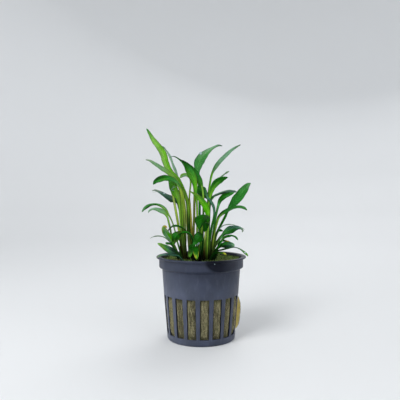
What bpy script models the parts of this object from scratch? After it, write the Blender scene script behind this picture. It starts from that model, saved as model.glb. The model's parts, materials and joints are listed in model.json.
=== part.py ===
"""Potted Cryptocoryne willisii: a slotted net pot, its plug of rock wool, and each leaf of the plant.

The origin is the middle of the pot's base, +Z is up and -Y is the front. Leaves are drawn as they show from
the front, in millimetres in the upright plane through the pot's axis, and are then set at their depths.
"""

import math

import bmesh
import bpy
import numpy as np

MM = 0.001

# Pot, in millimetres
POT_HEIGHT = 50.0
LIP_RADIUS = 27.5
LIP_THICKNESS = 1.0
LIP_ROOT = 1.6
COLLAR_RADIUS = 25.8
COLLAR_FOOT = 43.9
STEP_FOOT = 42.3
BODY_TOP_RADIUS = 23.95
BODY_MIDDLE_RADIUS = 22.8
BODY_MIDDLE_HEIGHT = 26.5
BASE_RADIUS = 20.6
BASE_ROUND = 0.8
WALL = 1.0
FLOOR = 1.4
ROUND_STEPS = 54

# Slots
SLOT_COUNT = 18
FIRST_SLOT_ANGLE = math.radians(5)
SLOT_WIDTH = 5.2
SLOT_FOOT = 4.0
SLOT_TOP = 27.2
FLOOR_SLOT_COUNT = 8
FLOOR_SLOT_INNER = 8.0
FLOOR_SLOT_OUTER = 16.5
FLOOR_SLOT_WIDTH = 2.4

# Rock wool
WOOL_TOP = 47.0
AIR = 0.3
WOOL_SWELL = 0.5

# The eye that the front view is drawn from, and the gap kept between leaves
EYE_X = -0.7
EYE_DISTANCE = 280.0
EYE_HEIGHT = 84.3
LEAF_AIR = 0.35
MOST_SHIFT = 4.0

# Leaves
RINGS = 14
STALK_THICKNESS = 1.1
BLADE_THICKNESS = 0.5
BLADE_FOLD = 0.16
FOOT_HEIGHT = WOOL_TOP + 0.4
CROWN_CENTRE = (-2.5, -0.5)
CROWN_RADIUS = 11.5
FOOT_SPACING = 2.1

GREY_PLASTIC = (0.07, 0.08, 0.12)
WOOL_GREEN = (0.22, 0.20, 0.07)
LEAF_COLOURS = {
    "bright": (0.14, 0.40, 0.03),
    "green": (0.04, 0.22, 0.02),
    "dark": (0.01, 0.09, 0.01),
    "teal": (0.03, 0.14, 0.08),
}

# Each leaf: its foot on the crown (x, y), then the line of its middle from low to high as it shows from the
# front, in rows of (across, height, width), then the depths that the line passes through, low to tip, with
# minus towards the front. Turn is how far the blade is turned from facing the front, in degrees.
LEAVES = [
    dict(name="tall_left_leaf", colour="bright", foot=(-6.8, 1.5), depth=(1, 2, 4, 2), turn=0, line=[
        (-7.7, 64, 1.3), (-7.7, 74, 1.4), (-8.1, 82, 1.5), (-9.7, 87.8, 1.6), (-12.1, 92.4, 2.6),
        (-14.3, 96.2, 3.4), (-16.8, 99.7, 3.4), (-19.3, 102.2, 3.4), (-21.0, 105, 3.7), (-22.0, 108, 4.1),
        (-22.7, 111, 4.4), (-23.9, 114, 4.2), (-26, 117, 3.7), (-28.5, 120.2, 3.3), (-30.9, 123.4, 2.4),
        (-32.3, 126.4, 1.0), (-33.6, 128.3, 0.4)]),
    dict(name="teal_upright_leaf", colour="teal", foot=(-5.5, 5.5), depth=(6, 9, 13), turn=75, line=[
        (-8.9, 70, 1.1), (-10.2, 82, 1.1), (-12, 91, 1.6), (-14.2, 97.8, 3), (-15.6, 101.3, 4),
        (-17.0, 104.5, 4.4), (-18.0, 107.3, 4.6), (-18.9, 109.8, 4.4), (-19.9, 112, 3.8),
        (-21.2, 114.5, 2.8), (-22.6, 116.4, 1.8), (-23.9, 117.5, 0.8)]),
    dict(name="slim_left_leaf", colour="green", foot=(-8.5, -0.5), depth=(-1, -2, -3), turn=35, line=[
        (-10.2, 66, 1.1), (-10.7, 76, 1.2), (-11, 84, 1.2), (-11.9, 89.3, 1.6), (-13.3, 93, 2.2),
        (-15.1, 96.1, 2.4), (-17, 98.3, 2.6), (-19, 100.2, 2.8), (-21.5, 101.9, 2.9), (-24, 103.6, 2.8),
        (-26.5, 105.2, 2.4), (-29, 106.9, 1.7), (-31.5, 108.5, 0.9), (-34.2, 109.2, 0.4)]),
    dict(name="hooked_left_leaf", colour="dark", foot=(-9.3, -3.5), depth=(-4, -6, -9), turn=30, line=[
        (-11.3, 66, 1.1), (-11.9, 76, 1.2), (-12.0, 84, 1.3), (-12.6, 89.5, 1.5), (-13.7, 93.0, 1.9),
        (-15.3, 95.2, 2.2), (-17.3, 96.7, 2.7), (-19.5, 97.5, 3.3), (-22, 97.8, 3.8), (-24.5, 97.3, 3.8),
        (-27, 96.3, 3.1), (-28.8, 95.2, 2.1), (-29.7, 93.9, 0.5)]),
    dict(name="broad_left_leaf", colour="bright", foot=(-10.3, 0.5), depth=(0, -1, -2), turn=0, line=[
        (-12.5, 68, 1.2), (-13.2, 77, 1.3), (-13.6, 82, 1.5), (-14.3, 85, 2.3), (-15.6, 87.6, 3.6),
        (-16.8, 90, 4.4), (-17.6, 92.5, 4.4), (-18.4, 95, 3.6), (-19.2, 97, 2.2), (-20, 98.6, 0.8)]),
    dict(name="yellow_stalk_leaf", colour="green", foot=(-11.5, 3.5), depth=(3, 5, 6), turn=10, line=[
        (-13.7, 66, 1.0), (-14.6, 72, 1.0), (-15.5, 77, 1.0), (-16.5, 82.5, 1.0), (-17.3, 87.3, 1.1),
        (-17.5, 90, 2.0), (-18, 92.5, 2.2), (-18.7, 95, 1.8), (-19.6, 97, 0.6)]),
    dict(name="blue_left_leaf", colour="teal", foot=(-9.5, 6.5), depth=(7, 10, 13), turn=25, line=[
        (-12.2, 66, 1.1), (-13, 76, 1.1), (-14, 81.3, 1.3), (-15.4, 83.8, 2.0), (-17.3, 84.2, 3.5),
        (-19, 85.2, 3.4), (-21, 86.4, 2.7), (-23, 87.7, 2.2), (-25, 88.9, 1.5), (-27, 89.9, 1.0),
        (-28.8, 90.4, 0.7), (-30.3, 90.0, 0.3)]),
    dict(name="arching_left_leaf", colour="dark", foot=(-11.3, 2), depth=(2, 4, 7), turn=35, line=[
        (-15, 60, 1.0), (-16.3, 66, 1.0), (-17.8, 70.7, 1.0), (-19.4, 74.3, 1.1), (-20.8, 76.4, 1.3),
        (-21.9, 78.3, 1.8), (-23.3, 79.8, 2.1), (-25.2, 80.9, 1.9), (-27.5, 81.6, 1.6), (-29.7, 81.6, 1.9),
        (-31.8, 80.9, 2.6), (-33.6, 79.9, 3.3), (-35.2, 78.6, 3.0), (-36.6, 76.8, 0.8)]),
    dict(name="pale_left_leaf", colour="green", foot=(-12.2, -1.5), depth=(-2, -4, -6), turn=15, line=[
        (-17.6, 58, 1.0), (-18.8, 65, 1.0), (-19.7, 69.2, 1.1), (-20.5, 72.3, 1.1), (-21.2, 74.7, 1.3),
        (-22.3, 76.2, 2.4), (-24, 77.2, 3.0), (-26, 78.1, 2.6), (-28, 78.7, 1.6), (-30, 78.7, 0.9),
        (-31.7, 77.9, 0.8), (-32.7, 76.4, 0.3)]),
    dict(name="curled_leaf", colour="green", foot=(-12, -5), depth=(-6, -9, -12, -14), turn=0, line=[
        (-15.5, 54, 1.1), (-17.3, 57.5, 1.3), (-18.9, 60, 2.2), (-20.5, 62.3, 3.2), (-21.9, 64.3, 3.4),
        (-22.9, 66.2, 2.4), (-23.0, 67.7, 1.4), (-22.0, 68.2, 1.0), (-21.2, 67.0, 0.4)]),
    dict(name="dark_arch_leaf", colour="dark", foot=(-5.5, -5.5), depth=(-5, -6, -5), turn=72, line=[
        (-7.2, 58, 0.9), (-8.4, 63.4, 0.9), (-9.8, 66.0, 0.9), (-12, 67.4, 1.4), (-14, 68.1, 2.2),
        (-16, 68.3, 2.6), (-17.9, 67.8, 2.6), (-19.4, 66.6, 2.4), (-20.5, 65.2, 2.0), (-21.2, 63.8, 1.4),
        (-21.7, 62.4, 0.5)]),
    dict(name="hanging_left_leaf", colour="dark", foot=(-3.5, -7), depth=(-8, -11, -14, -18, -22), turn=0, line=[
        (-4.8, 56, 1.1), (-5.5, 60.8, 1.1), (-6.6, 63.0, 1.1), (-8.5, 64.3, 1.1), (-11, 64.4, 1.3),
        (-13, 63.9, 2.6), (-14.7, 62.9, 4.4), (-15.9, 61.4, 5.2), (-16.6, 59.8, 4.2), (-17.0, 58.2, 2.4),
        (-17.1, 57.0, 0.6)]),
    dict(name="thin_left_leaf", colour="teal", foot=(-12.8, 3.5), depth=(3, 2, 1), turn=76, line=[
        (-16, 54.3, 1.0), (-18.2, 57.4, 1.2), (-19.8, 59.0, 2.4), (-21.2, 60.3, 3), (-22.7, 61.3, 3.2),
        (-24.5, 61.9, 3.2), (-26.5, 62.1, 2.8), (-28.5, 61.9, 2.2), (-30.3, 61.3, 1.5), (-31.9, 60.6, 0.4)]),
    dict(name="low_left_leaf", colour="teal", foot=(-11.6, -5.6), depth=(-6, -8, -10), turn=0, line=[
        (-13.0, 50, 1.2), (-14.6, 51, 2.2), (-16.5, 52, 3.4), (-18.7, 53.1, 3.8), (-20.8, 54.3, 3.5),
        (-22.9, 55.5, 2.7), (-24.9, 56.7, 1.6), (-26.9, 57.6, 0.4)]),
    dict(name="small_left_leaf", colour="dark", foot=(-13, -1), depth=(-2, -3, -5), turn=60, line=[
        (-16.3, 53, 0.9), (-17.5, 56.2, 1.2), (-18.8, 57.2, 2.0), (-20.2, 57.5, 2.0), (-22.1, 57.7, 0.4)]),
    dict(name="rim_left_leaf", colour="green", foot=(-10.5, -8.6), depth=(-10, -12, -13), turn=60, line=[
        (-14, 49.6, 1.0), (-16, 50.1, 1.6), (-18.5, 50.5, 2), (-21, 50.8, 2), (-23.2, 50.7, 1.8),
        (-25.2, 50.2, 1.4), (-26.6, 49.3, 0.9), (-27.3, 48.6, 0.4)]),
    dict(name="bright_centre_leaf", colour="bright", foot=(-2.8, -3.5), depth=(-4, -5, -6, -8), turn=0, line=[
        (-2.4, 68, 1.1), (-2.4, 77, 1.1), (-2.7, 83, 1.2), (-3.2, 88, 1.4), (-3.3, 91.5, 1.7),
        (-3.6, 94.5, 2.6), (-4.6, 97.5, 4.2), (-5.9, 100, 5.2), (-7.3, 102.5, 5.2), (-8.8, 104.8, 4.4),
        (-10.6, 107, 3.0), (-12.8, 108.9, 1.6), (-15.3, 110.5, 0.9), (-17.3, 111.3, 0.7), (-19.2, 110.8, 0.3)]),
    dict(name="shaded_centre_leaf", colour="dark", foot=(0.6, 0), depth=(0, -1, -2), turn=0, line=[
        (1.2, 70, 1.1), (1.4, 78, 1.1), (1.4, 85.5, 1.2), (0.9, 90, 1.2), (0.4, 93.5, 1.6),
        (-0.6, 96.3, 2.8), (-1.9, 98.6, 3.4), (-3.4, 100.8, 3.4), (-5.2, 102.9, 3.2), (-7.2, 104.9, 2.6),
        (-9.6, 106.9, 2.0), (-12, 108.5, 1.0), (-13.5, 109.3, 0.3)]),
    dict(name="top_centre_leaf", colour="green", foot=(-1, 4.5), depth=(5, 8, 12, 17), turn=0, line=[
        (-1, 70, 1.1), (-0.9, 80, 1.2), (-1.2, 90, 1.3), (-1.5, 96, 1.5), (-2.0, 99.8, 1.7),
        (-2.2, 102, 2.8), (-2.1, 104.5, 4.4), (-1.6, 107, 5.5), (0.0, 110, 5.5), (2.3, 112.6, 4.3),
        (4.8, 114.8, 2.6), (7, 116.3, 1.4), (9.6, 117.6, 0.9), (11.6, 118.1, 0.8), (13, 117.7, 0.3)]),
    dict(name="top_right_leaf", colour="green", foot=(2.2, 4), depth=(4, 7, 11), turn=40, line=[
        (2.7, 62, 1.0), (3.4, 72, 1.0), (4.1, 81, 1.1), (4.4, 87, 1.1), (5.0, 92, 1.2), (5.9, 96.5, 1.3),
        (6.5, 99.8, 1.5), (7.1, 102, 2.3), (8.4, 104.3, 2.9), (10.3, 106.8, 3.1), (12.5, 109.3, 3.1),
        (15, 111.9, 3.0), (17.5, 114.1, 2.1), (20.5, 116.3, 1.2), (22.6, 117.5, 0.7), (24.3, 118.4, 0.3)]),
    dict(name="upper_right_leaf", colour="green", foot=(3.9, 0.5), depth=(1, 1, -1, -2), turn=0, line=[
        (4.2, 64, 1.0), (4.6, 72, 1.0), (4.7, 80, 1.1), (5.2, 85.7, 1.5), (5.9, 88.2, 2.2),
        (6.7, 90.6, 2.9), (7.6, 92.7, 3.6), (9.1, 94.7, 4.1), (11.3, 96.3, 4.1), (13.3, 97.3, 2.9),
        (14.9, 97.9, 1.6), (16.6, 98.3, 0.4)]),
    dict(name="thin_right_leaf", colour="green", foot=(4.8, 6), depth=(7, 9, 11), turn=78, line=[
        (5.4, 70, 1.0), (5.9, 82, 1.0), (6.9, 90, 1.4), (8.6, 94.5, 2.4), (10.8, 97.3, 3),
        (13.0, 99.2, 2.6), (15, 100.7, 1.8), (17.4, 102.1, 0.4)]),
    dict(name="green_right_leaf", colour="green", foot=(5.8, 2), depth=(2, 2, 1), turn=0, line=[
        (6.8, 59, 1.0), (8.0, 68, 1.0), (9.2, 75, 1.1), (10.0, 78.5, 1.2), (10.7, 81.3, 1.5),
        (11.4, 83.5, 2.2), (12.6, 85.3, 3.0), (14.2, 86.6, 3.2), (16, 87.4, 2.6), (18, 88.1, 1.8),
        (20.4, 88.8, 0.5)]),
    dict(name="teal_right_leaf", colour="teal", foot=(4.2, 7.5), depth=(8, 6, 5), turn=62, line=[
        (4.6, 66, 1.0), (4.9, 76, 1.0), (5.5, 83, 1.0), (6.6, 85.5, 1.2), (8.2, 86.9, 1.8),
        (10.2, 87.9, 2.4), (12.3, 88.8, 3.2), (14.5, 89.4, 3.6), (17, 89.8, 3.2), (19.5, 89.8, 2.2),
        (22, 89.2, 0.4)]),
    dict(name="big_right_leaf", colour="green", foot=(7, 3.5), depth=(4, 6, 8), turn=0, line=[
        (8, 58.5, 1.1), (9.2, 62.5, 1.1), (10.7, 66.3, 1.1), (12.4, 69.5, 1.1), (14.3, 73, 1.2),
        (16, 76.6, 1.2), (17.6, 79.6, 1.8), (19.3, 81.5, 3.8), (21, 83.4, 5.0), (23, 85.8, 5.3),
        (25, 88.3, 5.0), (26.8, 90.8, 4.6), (28.5, 93.1, 3.0), (30.6, 94.8, 0.5)]),
    dict(name="arching_right_leaf", colour="green", foot=(6.2, -2), depth=(-2, -3, -5), turn=30, line=[
        (7.2, 58, 1.1), (8.4, 65, 1.1), (9.5, 69.5, 1.2), (10.4, 72.6, 1.5), (11.4, 74.8, 2.2),
        (13, 76.2, 2.8), (15, 77.4, 3.0), (17, 78.3, 2.8), (19, 79.2, 2.0), (21.3, 79.9, 1.4),
        (23.8, 80.1, 1.3), (26, 79.6, 1.3), (27.4, 78.9, 0.9), (28.3, 78, 0.3)]),
    dict(name="bent_teal_leaf", colour="teal", foot=(4.9, -2.5), depth=(-3, -3, -2, -1, 1, 2), turn=0, line=[
        (5.3, 58, 1.2), (5.9, 64, 1.3), (6.7, 69, 1.3), (7.7, 74, 1.3), (8.15, 77.3, 1.3), (7.7, 80, 1.5),
        (6.6, 82.3, 1.7), (5.2, 84.3, 1.6), (3.7, 85.8, 1.9), (2.4, 87.0, 3.8), (1.2, 88.5, 6.0),
        (0.0, 90, 6.0), (-1.3, 91.2, 4.4), (-2.4, 92, 2.4), (-3.2, 92.4, 0.5)]),
    dict(name="vivid_centre_leaf", colour="bright", foot=(2.6, -4.5), depth=(-5, -6, -7), turn=0, line=[
        (2.9, 62, 1.2), (3.6, 69, 1.3), (4.2, 73.5, 1.6), (4.2, 76.3, 2.3), (3.5, 79, 2.7),
        (2.3, 81.4, 2.8), (0.9, 83.4, 2.6), (-0.6, 85.1, 2.3), (-2, 86.3, 2.0), (-3.3, 87.4, 1.4),
        (-4.3, 88.2, 0.9), (-5.5, 88.9, 0.6), (-7.1, 89.8, 0.3)]),
    dict(name="broad_centre_leaf", colour="dark", foot=(-0.3, -6.5), turn=0,
         depth=(-6, -7, -8, -10, -13, -16, -18, -19.5, -21), line=[
        (0, 58, 1.3), (0.6, 68, 1.4), (1.1, 73.5, 2.0), (1.3, 75.2, 5.0), (1.2, 74.8, 7.6),
        (1.0, 73.0, 7.6), (0.5, 71, 6.6), (-0.2, 68.5, 4.0), (-0.9, 66, 0.5)]),
    dict(name="small_centre_leaf", colour="dark", foot=(1.8, -8), turn=0,
         depth=(-8, -9, -10, -12, -14, -15, -16, -16.5), line=[
        (2.2, 58, 1.1), (3.0, 66, 1.2), (3.5, 69.6, 1.6), (3.5, 70.4, 2.8), (3.1, 69.4, 3.4),
        (2.8, 67.8, 3.2), (2.4, 66, 2.0), (2.1, 64.4, 0.4)]),
    dict(name="low_centre_leaf", colour="green", foot=(-1, -8.8), turn=0,
         depth=(-9, -9.5, -10.5, -12, -14, -16, -18, -19.5, -20.5), line=[
        (0.8, 54, 1.1), (1.2, 59, 1.3), (0.9, 61.4, 2.2), (0.2, 62.3, 3.8), (-0.9, 61.9, 5.0),
        (-2, 60.7, 5.2), (-3, 59.2, 4.4), (-3.9, 57.8, 2.4), (-4.6, 56.8, 0.5)]),
    dict(name="front_left_leaf", colour="teal", foot=(-4.8, -9.2), turn=0,
         depth=(-10, -11, -12.5, -15, -17, -18.5, -19.5), line=[
        (-3.8, 54, 1.2), (-4.4, 56.4, 2.2), (-5.4, 55.4, 3.6), (-6.2, 53.8, 3.8), (-6.7, 51.8, 3.0),
        (-6.9, 50.2, 1.6), (-6.9, 49.0, 0.4)]),
    dict(name="front_leaf", colour="green", foot=(-2.2, -10.8), turn=0,
         depth=(-13, -15.5, -18.5, -20.5, -22, -23, -23.5), line=[
        (-2.4, 53.5, 1.2), (-2.9, 55.6, 1.8), (-3.2, 54.6, 2.8), (-3.2, 52.6, 3.0), (-3.0, 50.4, 2.6),
        (-2.8, 48.8, 1.6), (-2.7, 47.6, 0.4)]),
    dict(name="broad_right_leaf", colour="teal", foot=(5.6, -5.5), depth=(-6, -9, -12, -14), turn=15, line=[
        (7.2, 53, 1.1), (8.8, 55.5, 1.1), (10.3, 58, 1.2), (11.8, 60.3, 1.3), (13.3, 62.4, 1.8),
        (14.6, 63.8, 3.0), (16, 64.9, 4.3), (17.8, 65.9, 5.0), (19.6, 66.7, 4.6), (21.5, 67.3, 3.4),
        (23.4, 67.2, 2.0), (25, 66.5, 1.0), (25.8, 65.4, 0.7), (25.3, 64.3, 0.3)]),
    dict(name="thin_arch_leaf", colour="green", foot=(8.2, 1), depth=(0, -3, -6), turn=76, line=[
        (8.6, 59, 0.9), (9.7, 63, 1.0), (11, 66, 1.4), (12.6, 67.8, 2.4), (14.6, 68.8, 2.8),
        (17, 69.2, 2.4), (19.3, 69.1, 1.6), (21.3, 68.7, 0.4)]),
    dict(name="small_right_leaf", colour="dark", foot=(7.8, 5.8), depth=(7, 8, 8), turn=30, line=[
        (9.2, 62, 1.0), (10.4, 64.8, 1.0), (11.8, 65.6, 1.4), (13.5, 65.1, 0.4)]),
    dict(name="hooked_right_leaf", colour="green", foot=(6.4, -7.3), depth=(-9, -12, -15), turn=40, line=[
        (8.7, 52.5, 1.2), (10.2, 55, 1.3), (11.5, 57, 1.3), (12.8, 59, 1.5), (14, 60.6, 2.4),
        (15.3, 61.8, 3.0), (16.8, 62.5, 2.6), (18.3, 62.6, 1.8), (20, 62.2, 1.6), (21.5, 61.3, 1.4),
        (22.7, 59.6, 0.5)]),
    dict(name="low_right_leaf", colour="dark", foot=(7.6, -3.6), depth=(-5, -7, -8), turn=0, line=[
        (9.5, 53.5, 1.2), (11.2, 55.4, 1.6), (12.8, 56.3, 2.6), (14.5, 56.6, 3.6), (16.3, 56.6, 4.0),
        (18, 56.6, 3.6), (19.5, 56.4, 2.6), (20.6, 55.6, 0.8)]),
    dict(name="orange_edge_leaf", colour="green", foot=(8.6, -1), depth=(-1, -2), turn=60, line=[
        (11, 57.4, 1.0), (12.6, 59, 1.2), (14, 59.3, 1.6), (15.6, 58.8, 1.8), (17.2, 58.2, 1.2),
        (18.4, 57.8, 0.4)]),
    dict(name="rim_right_leaf", colour="green", foot=(7.4, -6.2), depth=(-8, -11, -11), turn=60, line=[
        (10, 52.7, 1.1), (13, 53.6, 1.2), (16, 54.4, 1.4), (19, 55, 1.8), (21.5, 55, 2.0),
        (23.8, 54.1, 2.0), (25.6, 52.8, 1.8), (27.2, 51.5, 1.4), (28.2, 50.5, 0.9), (28.9, 49.6, 0.3)]),
    dict(name="yellow_tip_leaf", colour="bright", foot=(4.6, -9.4), depth=(-12, -15, -17), turn=45, line=[
        (8, 51.6, 1.0), (10.2, 51.9, 1.6), (12.4, 51.7, 2.0), (14.2, 51.3, 1.6), (15.6, 50.5, 0.4)]),
    dict(name="small_light_leaf", colour="bright", foot=(-5, 6), depth=(5, 5, 4), turn=0, line=[
        (-5.8, 64, 0.9), (-6.1, 74, 0.9), (-6.8, 81, 0.9), (-7.2, 86, 0.9), (-6.8, 91, 0.9),
        (-6.4, 95.5, 1.0), (-6.9, 98.3, 1.3), (-8.2, 99.6, 1.7), (-9.8, 99.9, 1.9), (-11.2, 99.6, 1.9),
        (-12.3, 98.9, 1.6), (-13.2, 97.8, 0.5)]),
    dict(name="inner_centre_leaf", colour="green", foot=(-4.3, 2.5), depth=(3, 3, 2, 1), turn=0, line=[
        (-4.7, 64, 1.1), (-4.3, 74, 1.1), (-4.2, 82, 1.1), (-4.0, 88, 1.2), (-4.1, 92, 1.4),
        (-4.6, 95.5, 2.4), (-5.6, 98.5, 3.6), (-6.8, 101, 3.8), (-8.2, 103.5, 2.8), (-9.6, 105.6, 0.6)]),
    dict(name="back_tall_leaf", colour="green", foot=(-7, 8), depth=(10, 16, 22), turn=0, line=[
        (-8, 64, 1.1), (-8, 74, 1.1), (-8.6, 82, 1.2), (-10.6, 89, 1.8), (-13.2, 94.4, 2.6),
        (-16, 98.5, 2.8), (-18.8, 102, 3.0), (-20.9, 105.5, 3.0), (-22.2, 109.5, 2.6), (-23.3, 113, 1.6),
        (-24.6, 115.8, 0.5)]),
    dict(name="back_left_leaf", colour="dark", foot=(-9, 9), depth=(14, 20, 25), turn=0, line=[
        (-10.5, 60, 1.1), (-12, 70, 1.1), (-13, 78, 1.3), (-14.2, 85, 2.6), (-15.8, 89, 3.4),
        (-17, 92.5, 3.4), (-18.2, 95.5, 2.2), (-19.6, 97.6, 0.5)]),
    dict(name="back_centre_leaf", colour="dark", foot=(-2, 9), depth=(12, 18, 24), turn=0, line=[
        (-2.5, 62, 1.1), (-2.4, 74, 1.1), (-2.8, 84, 1.2), (-3.3, 90.5, 1.4), (-3.9, 94, 2.0),
        (-4.9, 97.5, 3.4), (-6.2, 100.3, 4.4), (-7.7, 103, 4.2), (-9.3, 105.2, 2.8), (-11, 107.2, 0.5)]),
    dict(name="back_low_leaf", colour="green", foot=(1, 9.5), depth=(13, 18, 23, 26), turn=0, line=[
        (0.8, 58, 1.2), (0.9, 66, 1.6), (0.6, 70, 3.4), (0.5, 72.5, 4.4), (0.7, 74.2, 3.4),
        (1.2, 75.3, 0.8)]),
    dict(name="back_right_leaf", colour="dark", foot=(6.5, 8), depth=(12, 18, 24), turn=0, line=[
        (8, 60, 1.1), (10.2, 65.4, 1.1), (13.2, 71.2, 1.2), (16, 76.8, 1.3), (18.6, 81, 2.6),
        (20.8, 83.7, 4.0), (22.8, 86.2, 4.2), (24.7, 88.6, 3.6), (26.3, 90.8, 2.4), (27.8, 92.8, 0.5)]),
    dict(name="back_upper_leaf", colour="green", foot=(3.5, 10), depth=(13, 19, 24), turn=0, line=[
        (4.3, 64, 1.0), (4.6, 74, 1.0), (4.8, 82, 1.1), (5.7, 88, 1.8), (7, 91.4, 2.8), (8.8, 94, 3.4),
        (10.8, 95.8, 3.0), (12.8, 97, 2.0), (14.3, 97.6, 0.5)]),
    dict(name="back_low_left_leaf", colour="green", foot=(-10.5, 7), depth=(12, 18, 23), turn=0, line=[
        (-11, 56, 1.1), (-12.8, 59.5, 1.6), (-14.2, 61, 2.8), (-15.8, 61.8, 3.6), (-17.4, 62.2, 3.0),
        (-19, 62.6, 1.6), (-20.2, 63, 0.5)]),
    dict(name="back_low_right_leaf", colour="dark", foot=(7.8, 7), depth=(11, 17, 22), turn=0, line=[
        (8.8, 57, 1.1), (11, 60.3, 1.3), (13.5, 63, 2.0), (15.6, 64.8, 3.2), (17.6, 65.8, 3.6),
        (19.5, 66.5, 2.8), (21.3, 67, 1.4), (22.6, 67, 0.4)]),
]


def material(name, colour, roughness):
    made = bpy.data.materials.new(name)
    made.use_nodes = True
    shader = made.node_tree.nodes["Principled BSDF"]
    shader.inputs["Base Color"].default_value = (*colour, 1)
    shader.inputs["Roughness"].default_value = roughness
    return made


def add_object(name, mesh, finish, collection):
    obj = bpy.data.objects.new(name, mesh)
    mesh.materials.append(finish)
    collection.objects.link(obj)
    return obj


def mesh_from(name, points, faces):
    mesh = bpy.data.meshes.new(name)
    mesh.from_pydata([tuple(p) for p in np.asarray(points) * MM], [], faces)
    mesh.update()
    return mesh


def body_radius(height):
    """Outside radius of the tapered body at a height."""
    heights = (0, BODY_MIDDLE_HEIGHT, STEP_FOOT)
    return float(np.interp(height, heights, (BASE_RADIUS, BODY_MIDDLE_RADIUS, BODY_TOP_RADIUS)))


def pot_profile():
    """The wall's outline from the middle of the floor, up the inside, over the lip and down the outside."""
    under_lip = POT_HEIGHT - LIP_THICKNESS
    return [
        (0, FLOOR),
        (body_radius(FLOOR) - WALL, FLOOR),
        (body_radius(BODY_MIDDLE_HEIGHT) - WALL, BODY_MIDDLE_HEIGHT),
        (BODY_TOP_RADIUS - WALL, STEP_FOOT + 0.4),
        (COLLAR_RADIUS - WALL, COLLAR_FOOT + 0.4),
        (COLLAR_RADIUS - WALL, POT_HEIGHT - 0.3),
        (COLLAR_RADIUS - WALL + 0.3, POT_HEIGHT),
        (LIP_RADIUS - 0.3, POT_HEIGHT),
        (LIP_RADIUS, POT_HEIGHT - 0.35),
        (LIP_RADIUS - 0.15, under_lip),
        (COLLAR_RADIUS, POT_HEIGHT - LIP_ROOT),
        (COLLAR_RADIUS, COLLAR_FOOT),
        (BODY_TOP_RADIUS + 0.9, STEP_FOOT + 0.7),
        (BODY_TOP_RADIUS, STEP_FOOT),
        (BODY_MIDDLE_RADIUS, BODY_MIDDLE_HEIGHT),
        (body_radius(BASE_ROUND), BASE_ROUND),
        (BASE_RADIUS - BASE_ROUND, 0),
        (0, 0),
    ]


def turned(name, profile):
    """A profile of (radius, height) carried round the Z axis."""
    points = [(r, 0, z) for r, z in profile]
    mesh = bpy.data.meshes.new(name)
    edges = [(i, i + 1) for i in range(len(points) - 1)]
    mesh.from_pydata([tuple(c * MM for c in p) for p in points], edges, [])
    return mesh


def cutter_block(shape, inner, outer, width, low, high, angle):
    """One upright block along the radius at an angle from the front."""
    made = bmesh.ops.create_cube(shape, size=1)["verts"]
    middle = (inner + outer) / 2
    for v in made:
        along = v.co.x * (outer - inner) + middle
        across = v.co.y * width
        turn = angle - math.pi / 2
        v.co = (
            (along * math.cos(turn) - across * math.sin(turn)) * MM,
            (along * math.sin(turn) + across * math.cos(turn)) * MM,
            (v.co.z * (high - low) + (low + high) / 2) * MM,
        )


def make_pot(parts, cutters):
    shape = bmesh.new()
    for i in range(SLOT_COUNT):
        angle = FIRST_SLOT_ANGLE + i * math.tau / SLOT_COUNT
        cutter_block(shape, BASE_RADIUS - 3, LIP_RADIUS + 1, SLOT_WIDTH, SLOT_FOOT, SLOT_TOP, angle)
    for i in range(FLOOR_SLOT_COUNT):
        angle = (i + 0.5) * math.tau / FLOOR_SLOT_COUNT
        cutter_block(shape, FLOOR_SLOT_INNER, FLOOR_SLOT_OUTER, FLOOR_SLOT_WIDTH, -1, FLOOR + 0.6, angle)
    mesh = bpy.data.meshes.new("slots")
    shape.to_mesh(mesh)
    shape.free()
    slots = bpy.data.objects.new("slots", mesh)
    cutters.objects.link(slots)
    slots.hide_render = True
    slots.display_type = "WIRE"

    plastic = material("grey_plastic", GREY_PLASTIC, 0.45)
    pot = add_object("net_pot", turned("net_pot", pot_profile()), plastic, parts)
    screw = pot.modifiers.new("turn", "SCREW")
    screw.steps = screw.render_steps = ROUND_STEPS
    screw.use_merge_vertices = True
    screw.merge_threshold = 0.00001
    cut = pot.modifiers.new("slots", "BOOLEAN")
    cut.operation = "DIFFERENCE"
    cut.solver = "EXACT"
    cut.object = slots


def wool_ring(radius, swell, height):
    """One level of the plug: four points to a slot, the middle two standing out by the swell."""
    half = (SLOT_WIDTH / 2 - AIR) / (radius + 1)
    points = []
    for i in range(SLOT_COUNT):
        middle = FIRST_SLOT_ANGLE + i * math.tau / SLOT_COUNT - math.pi / 2
        for turn, reach in ((-half - 0.01, 0), (-half, swell), (half, swell), (half + 0.01, 0)):
            out = radius + reach
            points.append((out * math.cos(middle + turn), out * math.sin(middle + turn), height))
    return points


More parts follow.
